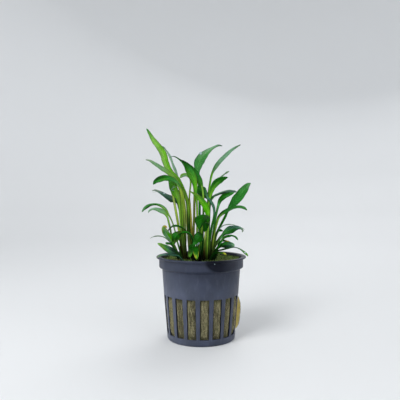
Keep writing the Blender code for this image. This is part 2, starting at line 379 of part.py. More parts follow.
def make_wool(parts):
    """A plug of rings, each joined to the next, with a fan at each end."""
    stand_out = WALL + AIR + WOOL_SWELL
    inside = WALL + AIR
    levels = [
        (body_radius(FLOOR) - inside, 0, FLOOR + AIR),
        (body_radius(SLOT_FOOT) - inside, 0, SLOT_FOOT + AIR),
        (body_radius(SLOT_FOOT) - inside, stand_out, SLOT_FOOT + AIR + 0.1),
        (body_radius(SLOT_TOP) - inside, stand_out, SLOT_TOP - AIR - 0.1),
        (body_radius(SLOT_TOP) - inside, 0, SLOT_TOP - AIR),
        (BODY_TOP_RADIUS - inside, 0, STEP_FOOT + 0.3),
        (COLLAR_RADIUS - inside - 0.1, 0, COLLAR_FOOT + 1.9),
        (COLLAR_RADIUS - inside - 0.2, 0, WOOL_TOP),
    ]
    rings = [wool_ring(*level) for level in levels]
    size = len(rings[0])
    points = np.concatenate([*rings, [(0, 0, FLOOR + AIR)], [(0, 0, WOOL_TOP)]])
    bottom, top = len(points) - 2, len(points) - 1
    faces = []
    for k in range(len(rings) - 1):
        for i in range(size):
            j = (i + 1) % size
            faces.append((k * size + i, k * size + j, (k + 1) * size + j, (k + 1) * size + i))
    last = (len(rings) - 1) * size
    for i in range(size):
        j = (i + 1) % size
        faces.append((bottom, j, i))
        faces.append((top, last + i, last + j))
    add_object("rock_wool", mesh_from("rock_wool", points, faces), material("wet_wool", WOOL_GREEN, 0.95), parts)


def spline_weights(knots, places):
    """Weights that turn values at the knots into values at the places, along a smooth curve through them."""
    count = len(knots)
    slopes = np.zeros((count, count))
    for i in range(count):
        low, high = max(i - 1, 0), min(i + 1, count - 1)
        slopes[i, high] += 1 / (knots[high] - knots[low])
        slopes[i, low] -= 1 / (knots[high] - knots[low])
    cell = np.clip(np.searchsorted(knots, places, side="right") - 1, 0, count - 2)
    step = knots[cell + 1] - knots[cell]
    t = (places - knots[cell]) / step
    weights = np.zeros((len(places), count))
    rows = np.arange(len(places))
    weights[rows, cell] += 2 * t**3 - 3 * t**2 + 1
    weights[rows, cell + 1] += -2 * t**3 + 3 * t**2
    weights += ((t**3 - 2 * t**2 + t) * step)[:, None] * slopes[cell]
    weights += ((t**3 - t**2) * step)[:, None] * slopes[cell + 1]
    return weights


def seen_from_front(point):
    """Where a real point shows in the plane through the pot's axis."""
    scale = EYE_DISTANCE / (EYE_DISTANCE + point[1])
    return EYE_X + (point[0] - EYE_X) * scale, EYE_HEIGHT + (point[2] - EYE_HEIGHT) * scale


def at_depth(seen, depth):
    """The real points that show at the given places, moved along their lines of sight to the given depths."""
    scale = (EYE_DISTANCE + depth) / EYE_DISTANCE
    x = EYE_X + (seen[:, 0] - EYE_X) * scale
    z = EYE_HEIGHT + (seen[:, 1] - EYE_HEIGHT) * scale
    return np.stack([x, depth, z], axis=1)


def spread_feet(feet):
    """Feet nearer to each other than the spacing move apart, and none leaves the crown."""
    feet = np.array(feet, float)
    for _ in range(200):
        apart = feet[:, None] - feet[None]
        distance = np.linalg.norm(apart, axis=2) + np.eye(len(feet)) * 99
        short = np.clip(FOOT_SPACING - distance, 0, None)
        feet += (apart / distance[..., None] * short[..., None]).sum(axis=1) * 0.3
        out = feet - CROWN_CENTRE
        reach = np.linalg.norm(out, axis=1)
        feet = CROWN_CENTRE + out * np.minimum(1, CROWN_RADIUS / reach)[:, None]
    return feet


class Leaf:
    """One leaf: its line as seen from the front, its width, and the depth of each point of the line."""

    def __init__(self, row, foot):
        self.name = row["name"]
        self.colour = row["colour"]
        self.turn = math.radians(row["turn"])
        self.foot = foot
        line = np.array(row["line"], float)
        depth = np.array(row["depth"], float)
        self.depth = np.interp(np.linspace(0, 1, len(line)), np.linspace(0, 1, len(depth)), depth)
        self.depth = np.concatenate([[foot[1]], self.depth])
        start = seen_from_front((*foot, FOOT_HEIGHT))
        self.line = np.concatenate([[(*start, line[0, 2])], line])
        rough = at_depth(self.line, self.depth)
        self.knots = np.concatenate([[0], np.cumsum(np.linalg.norm(np.diff(rough, axis=0), axis=1))])

    def stations(self, places):
        """Centres and widths at distances along the leaf."""
        weights = spline_weights(self.knots, places)
        centres = weights @ at_depth(self.line, self.depth)
        low, high = self.line[:, 2].min(), self.line[:, 2].max()
        return centres, np.clip(weights @ self.line[:, 2], low, high)

    def across(self, centres):
        """The direction of the blade's width at each centre, carried smoothly along the leaf."""
        tangents = np.gradient(centres, axis=0)
        tangents /= np.linalg.norm(tangents, axis=1)[:, None]
        widest = int(np.argmax(self.stations(np.linspace(0, self.knots[-1], len(centres)))[1]))
        ahead = tangents[widest]
        level = np.array([-ahead[2], 0, ahead[0]])
        if np.linalg.norm(level) < 0.5:
            level = np.array([-1.0, 0, 0])
        level -= ahead * (level @ ahead)
        level /= np.linalg.norm(level)
        start = level * math.cos(self.turn) + np.cross(ahead, level) * math.sin(self.turn)
        found = np.zeros_like(centres)
        found[widest] = start
        for step in (1, -1):
            side = start
            for k in range(widest + step, len(centres) if step > 0 else -1, step):
                side = side - tangents[k] * (side @ tangents[k])
                side /= np.linalg.norm(side)
                found[k] = side
        return found, np.cross(tangents, found)


def thickness_of(width):
    """Stalks are round and blades are thin."""
    share = np.clip((width - 1.3) / 1.2, 0, 1)
    round_stalk = np.minimum(width, STALK_THICKNESS)
    return round_stalk * (1 - share) + BLADE_THICKNESS * share


def fold_of(width):
    """How far the edges stand above the midrib."""
    return BLADE_FOLD * np.clip(width - 1.3, 0, None) * 0.5


SAMPLES = 48
SHARES = (-0.42, -0.21, 0, 0.21, 0.42)


def front_samples(leaf):
    """Points along and across a leaf: where each shows, its reach in the front view, and its half depth."""
    centres, width = leaf.stations(np.linspace(0, leaf.knots[-1], SAMPLES))
    side, _ = leaf.across(centres)
    thick = thickness_of(width)
    flat = np.hypot(side[:, 0], side[:, 2])
    reach = np.maximum(thick / 2, 0.13 * width * flat) + 0.2
    half = thick / 2 + 0.12 * width * np.abs(side[:, 1]) + fold_of(width) * 0.6
    points = centres[None] + side[None] * (width[None] * np.array(SHARES)[:, None])[..., None]
    scale = EYE_DISTANCE / (EYE_DISTANCE + points[..., 1])
    seen = np.stack([points[..., 0] * scale, (points[..., 2] - EYE_HEIGHT) * scale], axis=2).reshape(-1, 2)
    offset = (points[..., 1] - centres[None, :, 1]).reshape(-1)
    return seen, offset, np.tile(reach, len(SHARES)), np.tile(half, len(SHARES))


def crossings(leaves, samples, depths):
    """Pairs of samples of two leaves that overlap in the front view, the depth they need, and their order."""
    first, second, needed, order = [], [], [], []
    size = SAMPLES * len(SHARES)
    for i in range(len(leaves)):
        seen_i, offset_i, reach_i, half_i = samples[i]
        for j in range(i + 1, len(leaves)):
            seen_j, offset_j, reach_j, half_j = samples[j]
            distance = np.linalg.norm(seen_i[:, None] - seen_j[None], axis=2)
            a, b = np.nonzero(distance < reach_i[:, None] + reach_j[None])
            if len(a) == 0:
                continue
            here_i = depths[i][a % SAMPLES] + offset_i[a]
            here_j = depths[j][b % SAMPLES] + offset_j[b]
            gap = here_j - here_i
            usual = 1 if gap.mean() >= 0 else -1
            first.append(i * size + a)
            second.append(j * size + b)
            needed.append(half_i[a] + half_j[b] + LEAF_AIR)
            order.append(np.where(np.abs(gap) > 1.5, np.sign(gap), usual))
    return [np.concatenate(part) for part in (first, second, needed, order)]


def keep_apart(leaves):
    """Leaves that cross in the front view move apart in depth, half each, until there is air between them.

    The moves found at the samples are shared out to the points of the leaf's line by the weights of its curve,
    so that each leaf stays smooth.
    """
    weights = [spline_weights(leaf.knots, np.linspace(0, leaf.knots[-1], SAMPLES)) for leaf in leaves]
    samples = [front_samples(leaf) for leaf in leaves]
    drawn = [leaf.depth.copy() for leaf in leaves]
    depths = [w @ leaf.depth for w, leaf in zip(weights, leaves)]
    first, second, needed, order = crossings(leaves, samples, depths)
    for _ in range(300):
        here = np.concatenate([
            np.tile(w @ leaf.depth, len(SHARES)) + sample[1]
            for w, leaf, sample in zip(weights, leaves, samples)])
        short = np.clip(needed - order * (here[second] - here[first]), 0, None)
        forward = np.zeros(len(here))
        back = np.zeros(len(here))
        np.maximum.at(forward, np.where(order > 0, first, second), short)
        np.maximum.at(back, np.where(order > 0, second, first), short)
        moves = (back - forward).reshape(len(leaves), len(SHARES), SAMPLES)
        for index, leaf in enumerate(leaves):
            move = moves[index].min(axis=0).clip(max=0) + moves[index].max(axis=0).clip(min=0)
            share = np.clip(weights[index], 0, None)
            step = (share * move[:, None]).sum(axis=0) / share.sum(axis=0)
            step[0] *= 0.3
            leaf.depth = np.clip(leaf.depth + 0.35 * step, drawn[index] - MOST_SHIFT, drawn[index] + MOST_SHIFT)


def make_leaf(leaf, parts, finishes):
    """Rings of four points (edge, top of the midrib, edge, underside of the midrib) from foot to tip."""
    share = np.linspace(0, 1, RINGS + 1)
    places = leaf.knots[-1] * (1 - (1 - share) ** 1.25)
    centres, width = leaf.stations(places)
    fine = np.linspace(0, leaf.knots[-1], 61)
    fine_side, fine_normal = leaf.across(leaf.stations(fine)[0])
    side = np.stack([np.interp(places, fine, fine_side[:, k]) for k in range(3)], axis=1)
    normal = np.stack([np.interp(places, fine, fine_normal[:, k]) for k in range(3)], axis=1)
    side /= np.linalg.norm(side, axis=1)[:, None]
    normal /= np.linalg.norm(normal, axis=1)[:, None]
    half = side * (width / 2)[:, None]
    lift = normal * fold_of(width)[:, None]
    thick = normal * (thickness_of(width) / 2)[:, None]
    rings = np.stack([centres + half + lift, centres + thick, centres - half + lift, centres - thick], axis=1)
    low = rings[:4, :, 2].min(axis=1)
    rings[:4, :, 2] += np.clip(FOOT_HEIGHT - low, 0, None)[:, None]
    points = np.concatenate([rings[:-1].reshape(-1, 3), centres[-1:]])
    tip = len(points) - 1
    faces = [(3, 2, 1, 0)]
    for k in range(RINGS - 1):
        for i in range(4):
            j = (i + 1) % 4
            faces.append((k * 4 + i, k * 4 + j, (k + 1) * 4 + j, (k + 1) * 4 + i))
    last = (RINGS - 1) * 4
    for i in range(4):
        faces.append((last + i, last + (i + 1) % 4, tip))
    mesh = mesh_from(leaf.name, points, faces)
    shape = bmesh.new()
    shape.from_mesh(mesh)
    bmesh.ops.recalc_face_normals(shape, faces=shape.faces)
    shape.to_mesh(mesh)
    shape.free()
    add_object(leaf.name, mesh, finishes[leaf.colour], parts)


def main():
    for obj in list(bpy.data.objects):
        bpy.data.objects.remove(obj)
    parts = bpy.data.collections.new("potted_cryptocoryne")
    cutters = bpy.data.collections.new("cutters")
    bpy.context.scene.collection.children.link(parts)
    bpy.context.scene.collection.children.link(cutters)

    make_pot(parts, cutters)
    make_wool(parts)
    feet = spread_feet([row["foot"] for row in LEAVES])
    leaves = [Leaf(row, foot) for row, foot in zip(LEAVES, feet)]
    keep_apart(leaves)
    finishes = {name: material(f"{name}_leaf", colour, 0.5) for name, colour in LEAF_COLOURS.items()}
    for leaf in leaves:
        make_leaf(leaf, parts, finishes)


main()
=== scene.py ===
import json
import math
from functools import partial

import bmesh
import bpy
import numpy as np
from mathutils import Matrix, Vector


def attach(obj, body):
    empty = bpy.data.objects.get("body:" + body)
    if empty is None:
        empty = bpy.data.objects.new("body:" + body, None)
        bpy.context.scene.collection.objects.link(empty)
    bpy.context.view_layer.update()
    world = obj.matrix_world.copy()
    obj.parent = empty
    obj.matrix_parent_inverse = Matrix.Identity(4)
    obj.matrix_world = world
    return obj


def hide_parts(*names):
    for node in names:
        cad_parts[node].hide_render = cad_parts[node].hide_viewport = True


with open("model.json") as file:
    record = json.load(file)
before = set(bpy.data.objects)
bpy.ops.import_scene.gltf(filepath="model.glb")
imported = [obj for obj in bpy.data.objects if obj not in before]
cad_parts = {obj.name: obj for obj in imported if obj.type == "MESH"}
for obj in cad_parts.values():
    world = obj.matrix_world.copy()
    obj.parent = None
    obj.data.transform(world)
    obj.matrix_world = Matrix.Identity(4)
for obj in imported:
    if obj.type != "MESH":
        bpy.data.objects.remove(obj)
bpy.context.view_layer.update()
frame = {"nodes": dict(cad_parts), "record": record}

MM = 0.001
CHANCE = np.random.default_rng(41)

# The eye that the photograph was taken from, in millimetres, and its field
EYE = np.array([-0.7, -280.0, 84.3])
PICTURE_SIDE = 400
FOCAL_PIXELS = 454.0

# Pot, in millimetres
POT_HEIGHT = 50.0
LIP_RADIUS = 27.5
COLLAR_RADIUS = 25.8
COLLAR_INSIDE = 24.8
BASE_EDGE = 19.8
WALL = 1.0
FLOOR = 1.4
BODY_HEIGHTS = (0, 26.5, 42.3)
BODY_RADII = (20.6, 22.8, 23.95)
EDGE_ROUNDING = 0.16
SLOT_COUNT = 18
FIRST_SLOT = math.radians(5)
SLOT_HALF_WIDTH = 2.6
SLOT_FOOT = 4.0
SLOT_TOP = 27.2
DRAIN_COUNT = 8
DRAIN_HALF_WIDTH = 1.2
DRAIN_INNER = 8.0
DRAIN_OUTER = 16.5

# The pot's mesh has this many columns of cells from one slot to the next and across a slot or a drain,
# and its first drain starts at this column
SLOT_PITCH = 20
SLOT_CELLS = 12
DRAIN_CELLS = 5
FIRST_DRAIN_COLUMN = 18

# Rock wool, in millimetres
WOOL_FOOT = 1.72
WOOL_TOP = 47.0
WOOL_COLUMNS = 24

# Leaves, in millimetres: rows along one and places across its blade, how deep its foot stands in the
# wool, the least width of its stalk and its tip, the widths between which a stalk turns into a blade, and
# the distance under which two points of a solid are one
STATIONS = 72
ACROSS = np.array([-1, -0.93, -0.78, -0.55, -0.3, -0.1, 0, 0.1, 0.3, 0.55, 0.78, 0.93, 1])
ROOTED = 1.6
LEAST_STALK = 0.45
LEAST_TIP = 0.12
STALK_TO_BLADE = (1.35, 2.4)
MERGE = 0.005

# A leaf's map counts this many millimetres as 1 along it, and the whole blade as 1 across it
MAP_LENGTH = 100

# Colours of the living and the dried parts, sRGB. The leaves also use the darkest and palest of them as
# painted shade and painted highlights.
PALETTE = {
    "spring": "#6C9F40", "fresh": "#5F8C35", "lime": "#5A9822", "vivid": "#45960A", "grass": "#3A791E",
    "leaf": "#287026", "fern": "#3A7938", "sage": "#638E62", "deep": "#125006", "bottle": "#0B3505",
    "night": "#071F05", "sea": "#3F6E4B", "tide": "#2C513E", "slate": "#2A483C", "gloom": "#142A20",
    "olive": "#657A3C", "pea": "#567C22", "moss": "#354D19", "khaki": "#4B581C", "straw": "#799130",
    "yellow": "#9CA02A", "orange": "#B0801F", "brown": "#342A10", "umber": "#0E0D05", "plum": "#40302A",
    "ash": "#78886F", "mist": "#536F68", "jade": "#709F7A", "lagoon": "#527E6B", "shoot": "#78A636",
    "gold": "#C49A28", "lemon": "#B9BC3A", "amber": "#BDB445", "reed": "#889B50", "flare": "#AFC55A",
}

# Each leaf, foot to tip: its stalk's colours, those of its left-hand and right-hand half as one goes from
# foot to tip, those of its other face, and those of its margin. These hold painted light and shade as well
# as the leaf's own colour: darker names where a leaf or one half of it lies in shade, and pale grey and teal
# names as painted sheen and highlights. Then how many times wider than its solid it looks, as percent of
# its length:factor, for both halves or for its left-hand and its right-hand half.
LEAVES = {
    "tall_left": "umber khaki*2 moss bottle moss pea | pea fresh spring*5 leaf | khaki pea lime*4 spring "
        "leaf | sage | plum | 0:1.2 25:1.3 32:1.7 45:1.6 60:1 95:1 100:1.4 | 0:2.2 15:2 25:1.4 50:1.15 "
        "60:1 95:1 100:1.4",
    "teal_upright": "umber moss flare*2 spring | sage*2 jade*2 sea | jade*4 sea | fern | sea | 0:1 "
        "55:1.2 100:1.3 | 0:1",
    "slim_left": "brown moss olive straw*2 | fresh*4 sage*2 ash | pea fresh*3 sage*2 ash | sea | plum*2 "
        "khaki*2 sage ash | 0:0.5 7:0.4 13:0.4 20:1 50:1.1 100:1.2 | 0:0.5 7:0.4 13:0.4 18:1.6 27:1.9 "
        "42:1.5 55:1.1 100:1.2",
    "hooked_left": "brown moss pea*3 straw | fresh*2 fern leaf grass leaf deep | fresh fern*2 leaf deep "
        "bottle leaf | sea | plum*2 night*2 | 0:1 45:1.1 55:1.4 68:1.4 75:1.2 100:1.1 | 0:1 45:1.1 "
        "60:1.3 75:1.15 100:1.1",
    "broad_left": "brown moss pea*3 | pea lime grass*2 leaf | pea fresh lime grass leaf | sage | moss | "
        "0:1 30:0.8 55:0.8 70:0.95 100:1 | 0:1 50:1.1 65:1.4 80:1.35 90:1.2 100:1",
    "yellow_stalk": "umber brown moss straw*3 reed straw | leaf sea deep | straw leaf deep | sea | moss "
        "| 0:2.6 12:2.4 20:1.4 30:1.4 100:1.3 | 0:1.2 30:1.4 100:1.3",
    "blue_left": "umber moss bottle | deep bottle slate tide mist ash | deep slate tide mist ash*2 | "
        "deep | gloom | 0:1 50:1.15 80:1.25 100:1",
    "arching_left": "moss grass pea*2 | fresh*2 deep bottle*2 sage | fern sage fern leaf fern sage | sea "
        "| bottle | 0:1.1 15:1 30:0.7 50:0.72 62:1 100:0.7",
    "pale_left": "moss pea*3 fresh | fresh sage*2 ash | fresh sage jade*2 | sea | moss | 0:1.15 50:1 "
        "62:0.85 75:1 | 0:1.15 50:1.1 100:1",
    "curled": "bottle moss | fern sage*2 fern spring orange | vivid*3 sage spring straw | fern sage "
        "fresh*2 orange | orange straw fern*2 orange*3 | 0:1 35:0.75 50:0.85 70:1.1 100:1.2 | 0:1 "
        "100:1.2",
    "dark_arch": "umber moss olive*2 deep | deep*2 gloom slate | deep*2 gloom slate | tide | night | 0:1 "
        "35:0.8 50:0.9 60:1 80:1.3 100:1.4",
    "hanging_left": "umber moss deep leaf deep | bottle*2 deep bottle moss deep | moss*2 leaf deep "
        "bottle grass | deep | bottle*2 pea bottle",
    "thin_left": "moss deep | tide sage ash*2 | tide sage ash*2 | sea | sage | 0:0.9 50:0.45 100:0.2",
    "low_left": "night bottle | bottle gloom tide fern fresh spring*2 | bottle*2 gloom tide fern "
        "spring*2 | deep*2 fern spring*2 | bottle*2 tide fresh spring | 0:1 50:1.12",
    "small_left": "deep*2 | deep leaf*2 | deep*2 leaf | sea | deep | 0:1.1 100:1.2",
    "rim_left": "tide*2 | tide*2 slate mist sage ash | tide*2 slate*2 mist ash | deep | tide | 0:1 "
        "100:0.8 | 0:1 30:0.6 100:0.5",
    "bright_centre": "umber moss pea*2 grass | lime vivid grass*2 deep*2 leaf tide | lime*2 grass leaf "
        "bottle*2 tide | sage | brown*2 bottle*2 tide | 75:1 88:0.6 100:0.5",
    "shaded_centre": "umber moss bottle deep pea fresh | grass leaf deep bottle | grass leaf deep bottle "
        "| sea | bottle",
    "top_centre": "umber pea deep*2 leaf grass | leaf fern*2 sage jade tide | fern*4 sage slate | sage | "
        "tide | 0:1.3 50:1.1 60:1.12 90:1.1 100:1.3 | 0:1.3 50:1.1 100:1.15",
    "top_right": "umber moss straw*2 lime*2 | fresh fern jade*3 moss | fern sage jade*3 moss | leaf | "
        "fern | 0:1.1 60:1.05 100:1.1",
    "upper_right": "pea shoot*3 lime | lime grass deep*3 | lime*2 grass deep*2 | sea | leaf | 0:1.1 "
        "40:0.8 50:0.45 58:0.7 66:1",
    "thin_right": "moss fern | sea sage ash | sea sage ash | sage | fern | 0:1 20:0.8 28:0.35 52:0.35 "
        "65:1",
    "green_right": "umber moss leaf fern | fern deep*3 fern | leaf deep leaf*2 | sea | bottle | 0:1.2 "
        "50:1.1 100:1.05",
    "teal_right": "bottle deep leaf | sea jade*3 mist | sea bottle gloom lagoon*2 | tide | sea lagoon*3 "
        "| 0:1 55:0.8 70:1 100:1.2 | 0:1 30:1.2 42:1.9 60:1.7 80:1.2 100:1.3",
    "big_right": "umber moss deep*2 | leaf*3 fern*2 | deep leaf*3 sage | sage | deep | 0:1.2 35:0.75 "
        "48:0.75 58:1.2 85:1.2 100:1.1 | 0:1.2 35:1.3 50:1.3 62:1",
    "arching_right": "umber moss straw pea*2 | bottle deep leaf*2 fern*2 | fresh*2 leaf fern*2 leaf*2 | "
        "leaf | night*3 deep*2 | 0:1.2 50:1.1 70:1 80:1.2 100:1.3 | 0:1.2 50:1.1 65:1 75:0.75 85:1.1 "
        "100:1.3",
    "bent_teal": "umber moss deep*2 tide | sea*2 deep bottle deep leaf | tide sea*2 leaf*2 | deep | tide "
        "| 0:1.1 40:1 50:0.6 60:1 100:1.05 | 0:1.1 100:1.05",
    "vivid_centre": "umber pea deep | grass vivid*2 lime grass pea | grass lime vivid grass pea*2 | sage "
        "| moss | 30:1 45:1.45 70:1.55 90:1.3 100:1 | 30:1 45:1.2 70:1.3 90:1.2 100:1",
    "broad_centre": "umber bottle pea*2 | deep*4 | night*4 | deep | night | 0:1 70:1.05 85:1.3 100:1.5 | "
        "70:1 78:0.82 86:0.6 93:0.4",
    "small_centre": "umber brown khaki reed leaf | bottle deep*3 | leaf deep*3 | deep | gloom | 0:1 | "
        "15:1 25:1.6 40:1.6 50:1",
    "low_centre": "umber bottle deep | bottle deep*3 leaf | bottle deep leaf deep leaf | deep | bottle | "
        "0:1 70:1.1",
    "front_left": "umber bottle | bottle deep*3 grass vivid | deep*3 moss lime | deep | deep*3 vivid",
    "front": "umber bottle | moss deep*4 grass lime | bottle deep*4 grass yellow lime | deep | deep*3 "
        "lemon lime",
    "broad_right": "umber moss*2 fern | fern*2 tide lagoon ash | deep leaf deep tide ash | deep | "
        "slate*2 mist | 85:1 100:0.8 | 0:1 40:0.6 55:0.75 70:1 85:1 100:0.8",
    "thin_arch": "moss pea fern | jade ash jade | jade ash jade | ash | mist | 0:0.8 35:0.5 50:0.7 "
        "70:0.5 100:0.3",
    "small_right": "moss deep | tide*3 | slate tide*2 | sea | gloom",
    "hooked_right": "umber bottle*2 deep leaf | grass*2 leaf*2 fern | fern leaf*3 deep | sea | deep | "
        "0:1 60:1.1 72:0.7 85:0.5 100:1 | 0:1 35:0.9 50:0.45 65:0.5 75:1.3 100:1.5",
    "low_right": "umber bottle | bottle*2 deep leaf*2 sea*2 jade*2 | bottle*2 gloom tide sage | deep | "
        "bottle*3 sea sage",
    "orange_edge": "umber deep | deep leaf gold lemon leaf*2 | deep leaf gold lemon leaf*2 | sea | deep "
        "gold*2 leaf | 0:1 50:1.3",
    "rim_right": "night deep | leaf tide sea sage lime*2 | tide*2 sea sage grass lime | tide*2 sage lime "
        "| tide*2 sage grass | 0:1 20:0.6 35:0.9 50:0.8 62:0.35 72:0.6 85:1.3 100:1.5 | 0:1 20:0.4 "
        "35:0.7 50:0.7 62:0.35 72:0.5 85:0.8 100:1",
    "yellow_tip": "night bottle | bottle moss grass*2 lemon*2 | bottle*2 vivid*2 lemon*2 | moss | moss*2 "
        "grass lemon | 0:1 50:1.1 80:0.8 100:0.9 | 0:1 50:0.9 80:0.6 100:0.7",
    "small_light": "umber brown amber*3 straw pea fresh | spring jade spring | fresh spring*2 | sage | "
        "fresh | 0:2.4 20:2 35:1.6 50:1.1 | 0:1.4 30:1.1 45:0.8 60:1 100:1.1",
    "inner_centre": "umber brown khaki*2 pea | leaf fern sea tide | moss sea*2 tide | sage | bottle | "
        "0:1.3 100:1.1",
    "back_tall": "umber moss pea | leaf fern leaf deep | fern leaf*2 deep | sage | plum | 0:1.3 50:1",
    "back_left": "umber moss*2 | deep bottle deep | deep*2 bottle | sea | bottle",
    "back_centre": "umber khaki moss | deep leaf deep bottle | bottle deep*2 bottle | sea | plum | 0:1.2 "
        "50:1",
    "back_low": "umber moss | leaf*2 deep | deep leaf*2 | sage | moss",
    "back_right": "umber moss pea | deep leaf deep | leaf deep*2 | sea | bottle",
    "back_upper": "umber khaki pea | leaf grass leaf | fern leaf*2 | sage | plum",
    "back_low_left": "umber moss | leaf fern grass | leaf*2 grass | sage | moss",
    "back_low_right": "umber moss | deep leaf deep | bottle deep*2 | sea | bottle",
}


def linear(code):
    """An sRGB hex colour as linear red, green, blue."""
    share = np.array([int(code[i:i + 2], 16) for i in (1, 3, 5)]) / 255
    return np.where(share <= 0.04045, share / 12.92, ((share + 0.055) / 1.055) ** 2.4)


def named(words):
    """A row of palette names as rows of linear colours. A name with *3 behind it counts three times."""
    pairs = [word.partition("*") for word in words.split()]
    return np.concatenate([[linear(PALETTE[name])] * int(times or 1) for name, star, times in pairs])


def put(tree, kind, feeds=(), **settings):
    """One node of that kind, with its settings. Each feed gives a socket's name or number and what goes
    in: another node's output, an sRGB hex colour or a number. Returns the node's outputs."""
    made = tree.nodes.new("ShaderNode" + kind)
    for name, value in settings.items():
        setattr(made, name, value)
    for key, value in dict(feeds).items():
        if isinstance(value, bpy.types.NodeSocket):
            tree.links.new(value, made.inputs[key])
        else:
            made.inputs[key].default_value = (*linear(value), 1) if isinstance(value, str) else value
    return made.outputs


def new_material(name):
    """An empty material, and the function that adds a node to it."""
    made = bpy.data.materials.new(name)
    made.use_nodes = True
    made.node_tree.nodes.clear()
    return made, partial(put, made.node_tree)


def grains(put, place, size, detail, low=0, high=1, start=0, end=1, rough=0.5):
    """A pattern of grains about that many millimetres across: noise, whose values from low to high are
    carried to start to end and held there."""
    feeds = {"Vector": place, "Scale": 1 / (size * MM), "Detail": detail, "Roughness": rough}
    return put("MapRange", {0: put("TexNoise", feeds)[0], 1: low, 2: high, 3: start, 4: end})[0]


def product(put, *values):
    """All the values multiplied together."""
    made, *rest = values
    for value in rest:
        made = put("Math", {0: made, 1: value}, operation="MULTIPLY")[0]
    return made


def coated(put, colour, coats):
    """A colour under coats of other colours, laid on in turn, each with the share that it hides."""
    for share, coat in coats:
        colour = put("Mix", {0: share, 6: colour, 7: coat}, data_type="RGBA")[2]
    return colour


def leaf_material(name, roughness, shine):
    """Leaf tissue: the leaf's colours with their painted light and shade, mottled by its cells, with raised
    slanting veins.
    """
    made, put = new_material(name)
    place = put("TexCoord")["Object"]
    tint = put("Attribute", attribute_name="tint")
    leaf_map = put("UVMap", uv_map="leaf_map")[0]
    along, across, _ = put("SeparateXYZ", {0: leaf_map})
    # Side veins leave the midrib every 2.2 mm and reach the margin 4 mm further on
    centred = put("Math", {0: across, 1: 0.5}, operation="SUBTRACT")[0]
    out = put("Math", {0: centred}, operation="ABSOLUTE")[0]
    slanted = put("Math", {0: out, 1: -8 / MAP_LENGTH, 2: along}, operation="MULTIPLY_ADD")[0]
    wave = put("Math", {0: product(put, slanted, math.tau * MAP_LENGTH / 2.2)}, operation="SINE")[0]
    vein = product(put, put("MapRange", {0: wave, 1: 0.55})[0], tint["Alpha"])
    # Cells, patches, and streaks that are 8 mm long and a ninth of the blade wide
    cells = grains(put, place, 0.35, 3, 0.3, 0.7, 0.84, 1.14)
    patches = grains(put, place, 2.2, 2, 0.3, 0.7, 0.86, 1.12)
    drawn = put("Mapping", {"Vector": leaf_map, "Scale": (12, 9, 1)})[0]
    streaks = grains(put, drawn, 1 / MM, 2, 0.3, 0.7, 0.8, 1.2)
    paler = put("Math", {0: vein, 1: 0.4, 2: 1.0}, operation="MULTIPLY_ADD")[0]
    mottle = product(put, cells, patches, streaks, paler)
    colour = put("Mix", {0: 1.0, 6: tint["Color"], 7: mottle}, data_type="RGBA", blend_type="MULTIPLY")[2]
    relief = put("Math", {0: cells, 1: 0.35, 2: vein}, operation="MULTIPLY_ADD")[0]
    put("OutputMaterial", {0: put("BsdfPrincipled", {
        "Base Color": colour,
        "Roughness": grains(put, place, 1.6, 2, 0.3, 0.7, roughness - 0.07, roughness + 0.1),
        "Normal": put("Bump", {"Height": relief, "Distance": 0.06 * MM, "Strength": 0.7})[0],
        "IOR": 1.42,
        "Specular IOR Level": shine,
    })[0]})
    return made


def plastic_material():
    """Moulded polypropylene: satin slate grey with faint flow clouds, dust and scuffs, and painted light
    that makes it paler towards the left. Painted shade darkens its upper part and its inside, and a dark
    oval of painted reflection lies below the lip on the right, and the plastic shines less under these
    three. The places of these are in metres."""
    made, put = new_material("moulded_polypropylene")
    place = put("TexCoord")["Object"]
    upright = put("Mapping", {"Vector": place, "Scale": (1, 1, 0.25)})[0]
    across, _, height = put("SeparateXYZ", {0: place})
    clouds = grains(put, place, 11, 3, 0.35, 0.65)
    dust = grains(put, upright, 1.6, 4, 0.55, 0.85, 0, 0.22, 0.6)
    scuffs = grains(put, place, 0.5, 2, 0.66, 0.8, 0, 0.4)
    # Painted light: the plastic turns paler towards the left, most at 22 mm left of the axis
    painted_left_light = put("MapRange", {0: across, 1: 0, 2: -0.022, 4: 0.16})[0]
    # Painted shade: the plastic turns darker from 30 mm up, by half at 43 mm and above
    painted_top_shade = put("MapRange", {0: height, 1: 0.030, 2: 0.043, 4: 0.5})[0]
    # Painted reflection: a dark oval below the lip on the right, weaker towards the right
    oval = {"Vector": place, "Location": (0.0125, -0.026, 0.0493), "Scale": (0.0115, 0.022, 0.0072)}
    oval = put("Mapping", oval, vector_type="TEXTURE")[0]
    round_reflection = put("TexGradient", {"Vector": oval}, gradient_type="SPHERICAL")["Fac"]
    reflection_fade = put("MapRange", {0: across, 1: 0.011, 2: 0.02, 3: 1, 4: 0.4})[0]
    painted_reflection = product(put, put("MapRange", {0: round_reflection, 2: 0.2, 4: 0.9})[0], reflection_fade)
    # Painted shade on the inner wall: the points marked inside turn dark navy
    inside = put("MapRange", {0: put("Attribute", attribute_name="inside")["Fac"], 4: 0.96})[0]
    # The plastic shines less where the painted shade and the painted reflection lie
    painted_dark_areas = put("Math", {0: painted_reflection, 1: inside}, operation="MAXIMUM")[0]
    painted_dark_areas = put("Math", {0: painted_dark_areas, 1: painted_top_shade}, operation="MAXIMUM")[0]
    relief = grains(put, place, 0.4, 3)
    put("OutputMaterial", {0: put("BsdfPrincipled", {
        "Base Color": coated(put, "#2D3445", [
            (clouds, "#3A4155"), (dust, "#7E8494"), (scuffs, "#20242F"), (painted_left_light, "#8A92A8"),
            (painted_top_shade, "#161B29"), (painted_reflection, "#070A16"), (inside, "#060818")]),
        "Roughness": grains(put, upright, 2.4, 3, 0.3, 0.7, 0.38, 0.56),
        "Normal": put("Bump", {"Height": relief, "Distance": 0.03 * MM, "Strength": 0.6})[0],
        "IOR": 1.49,
        "Specular IOR Level": put("MapRange", {0: painted_dark_areas, 3: 0.42, 4: 0.06})[0],
    })[0]})
    return made


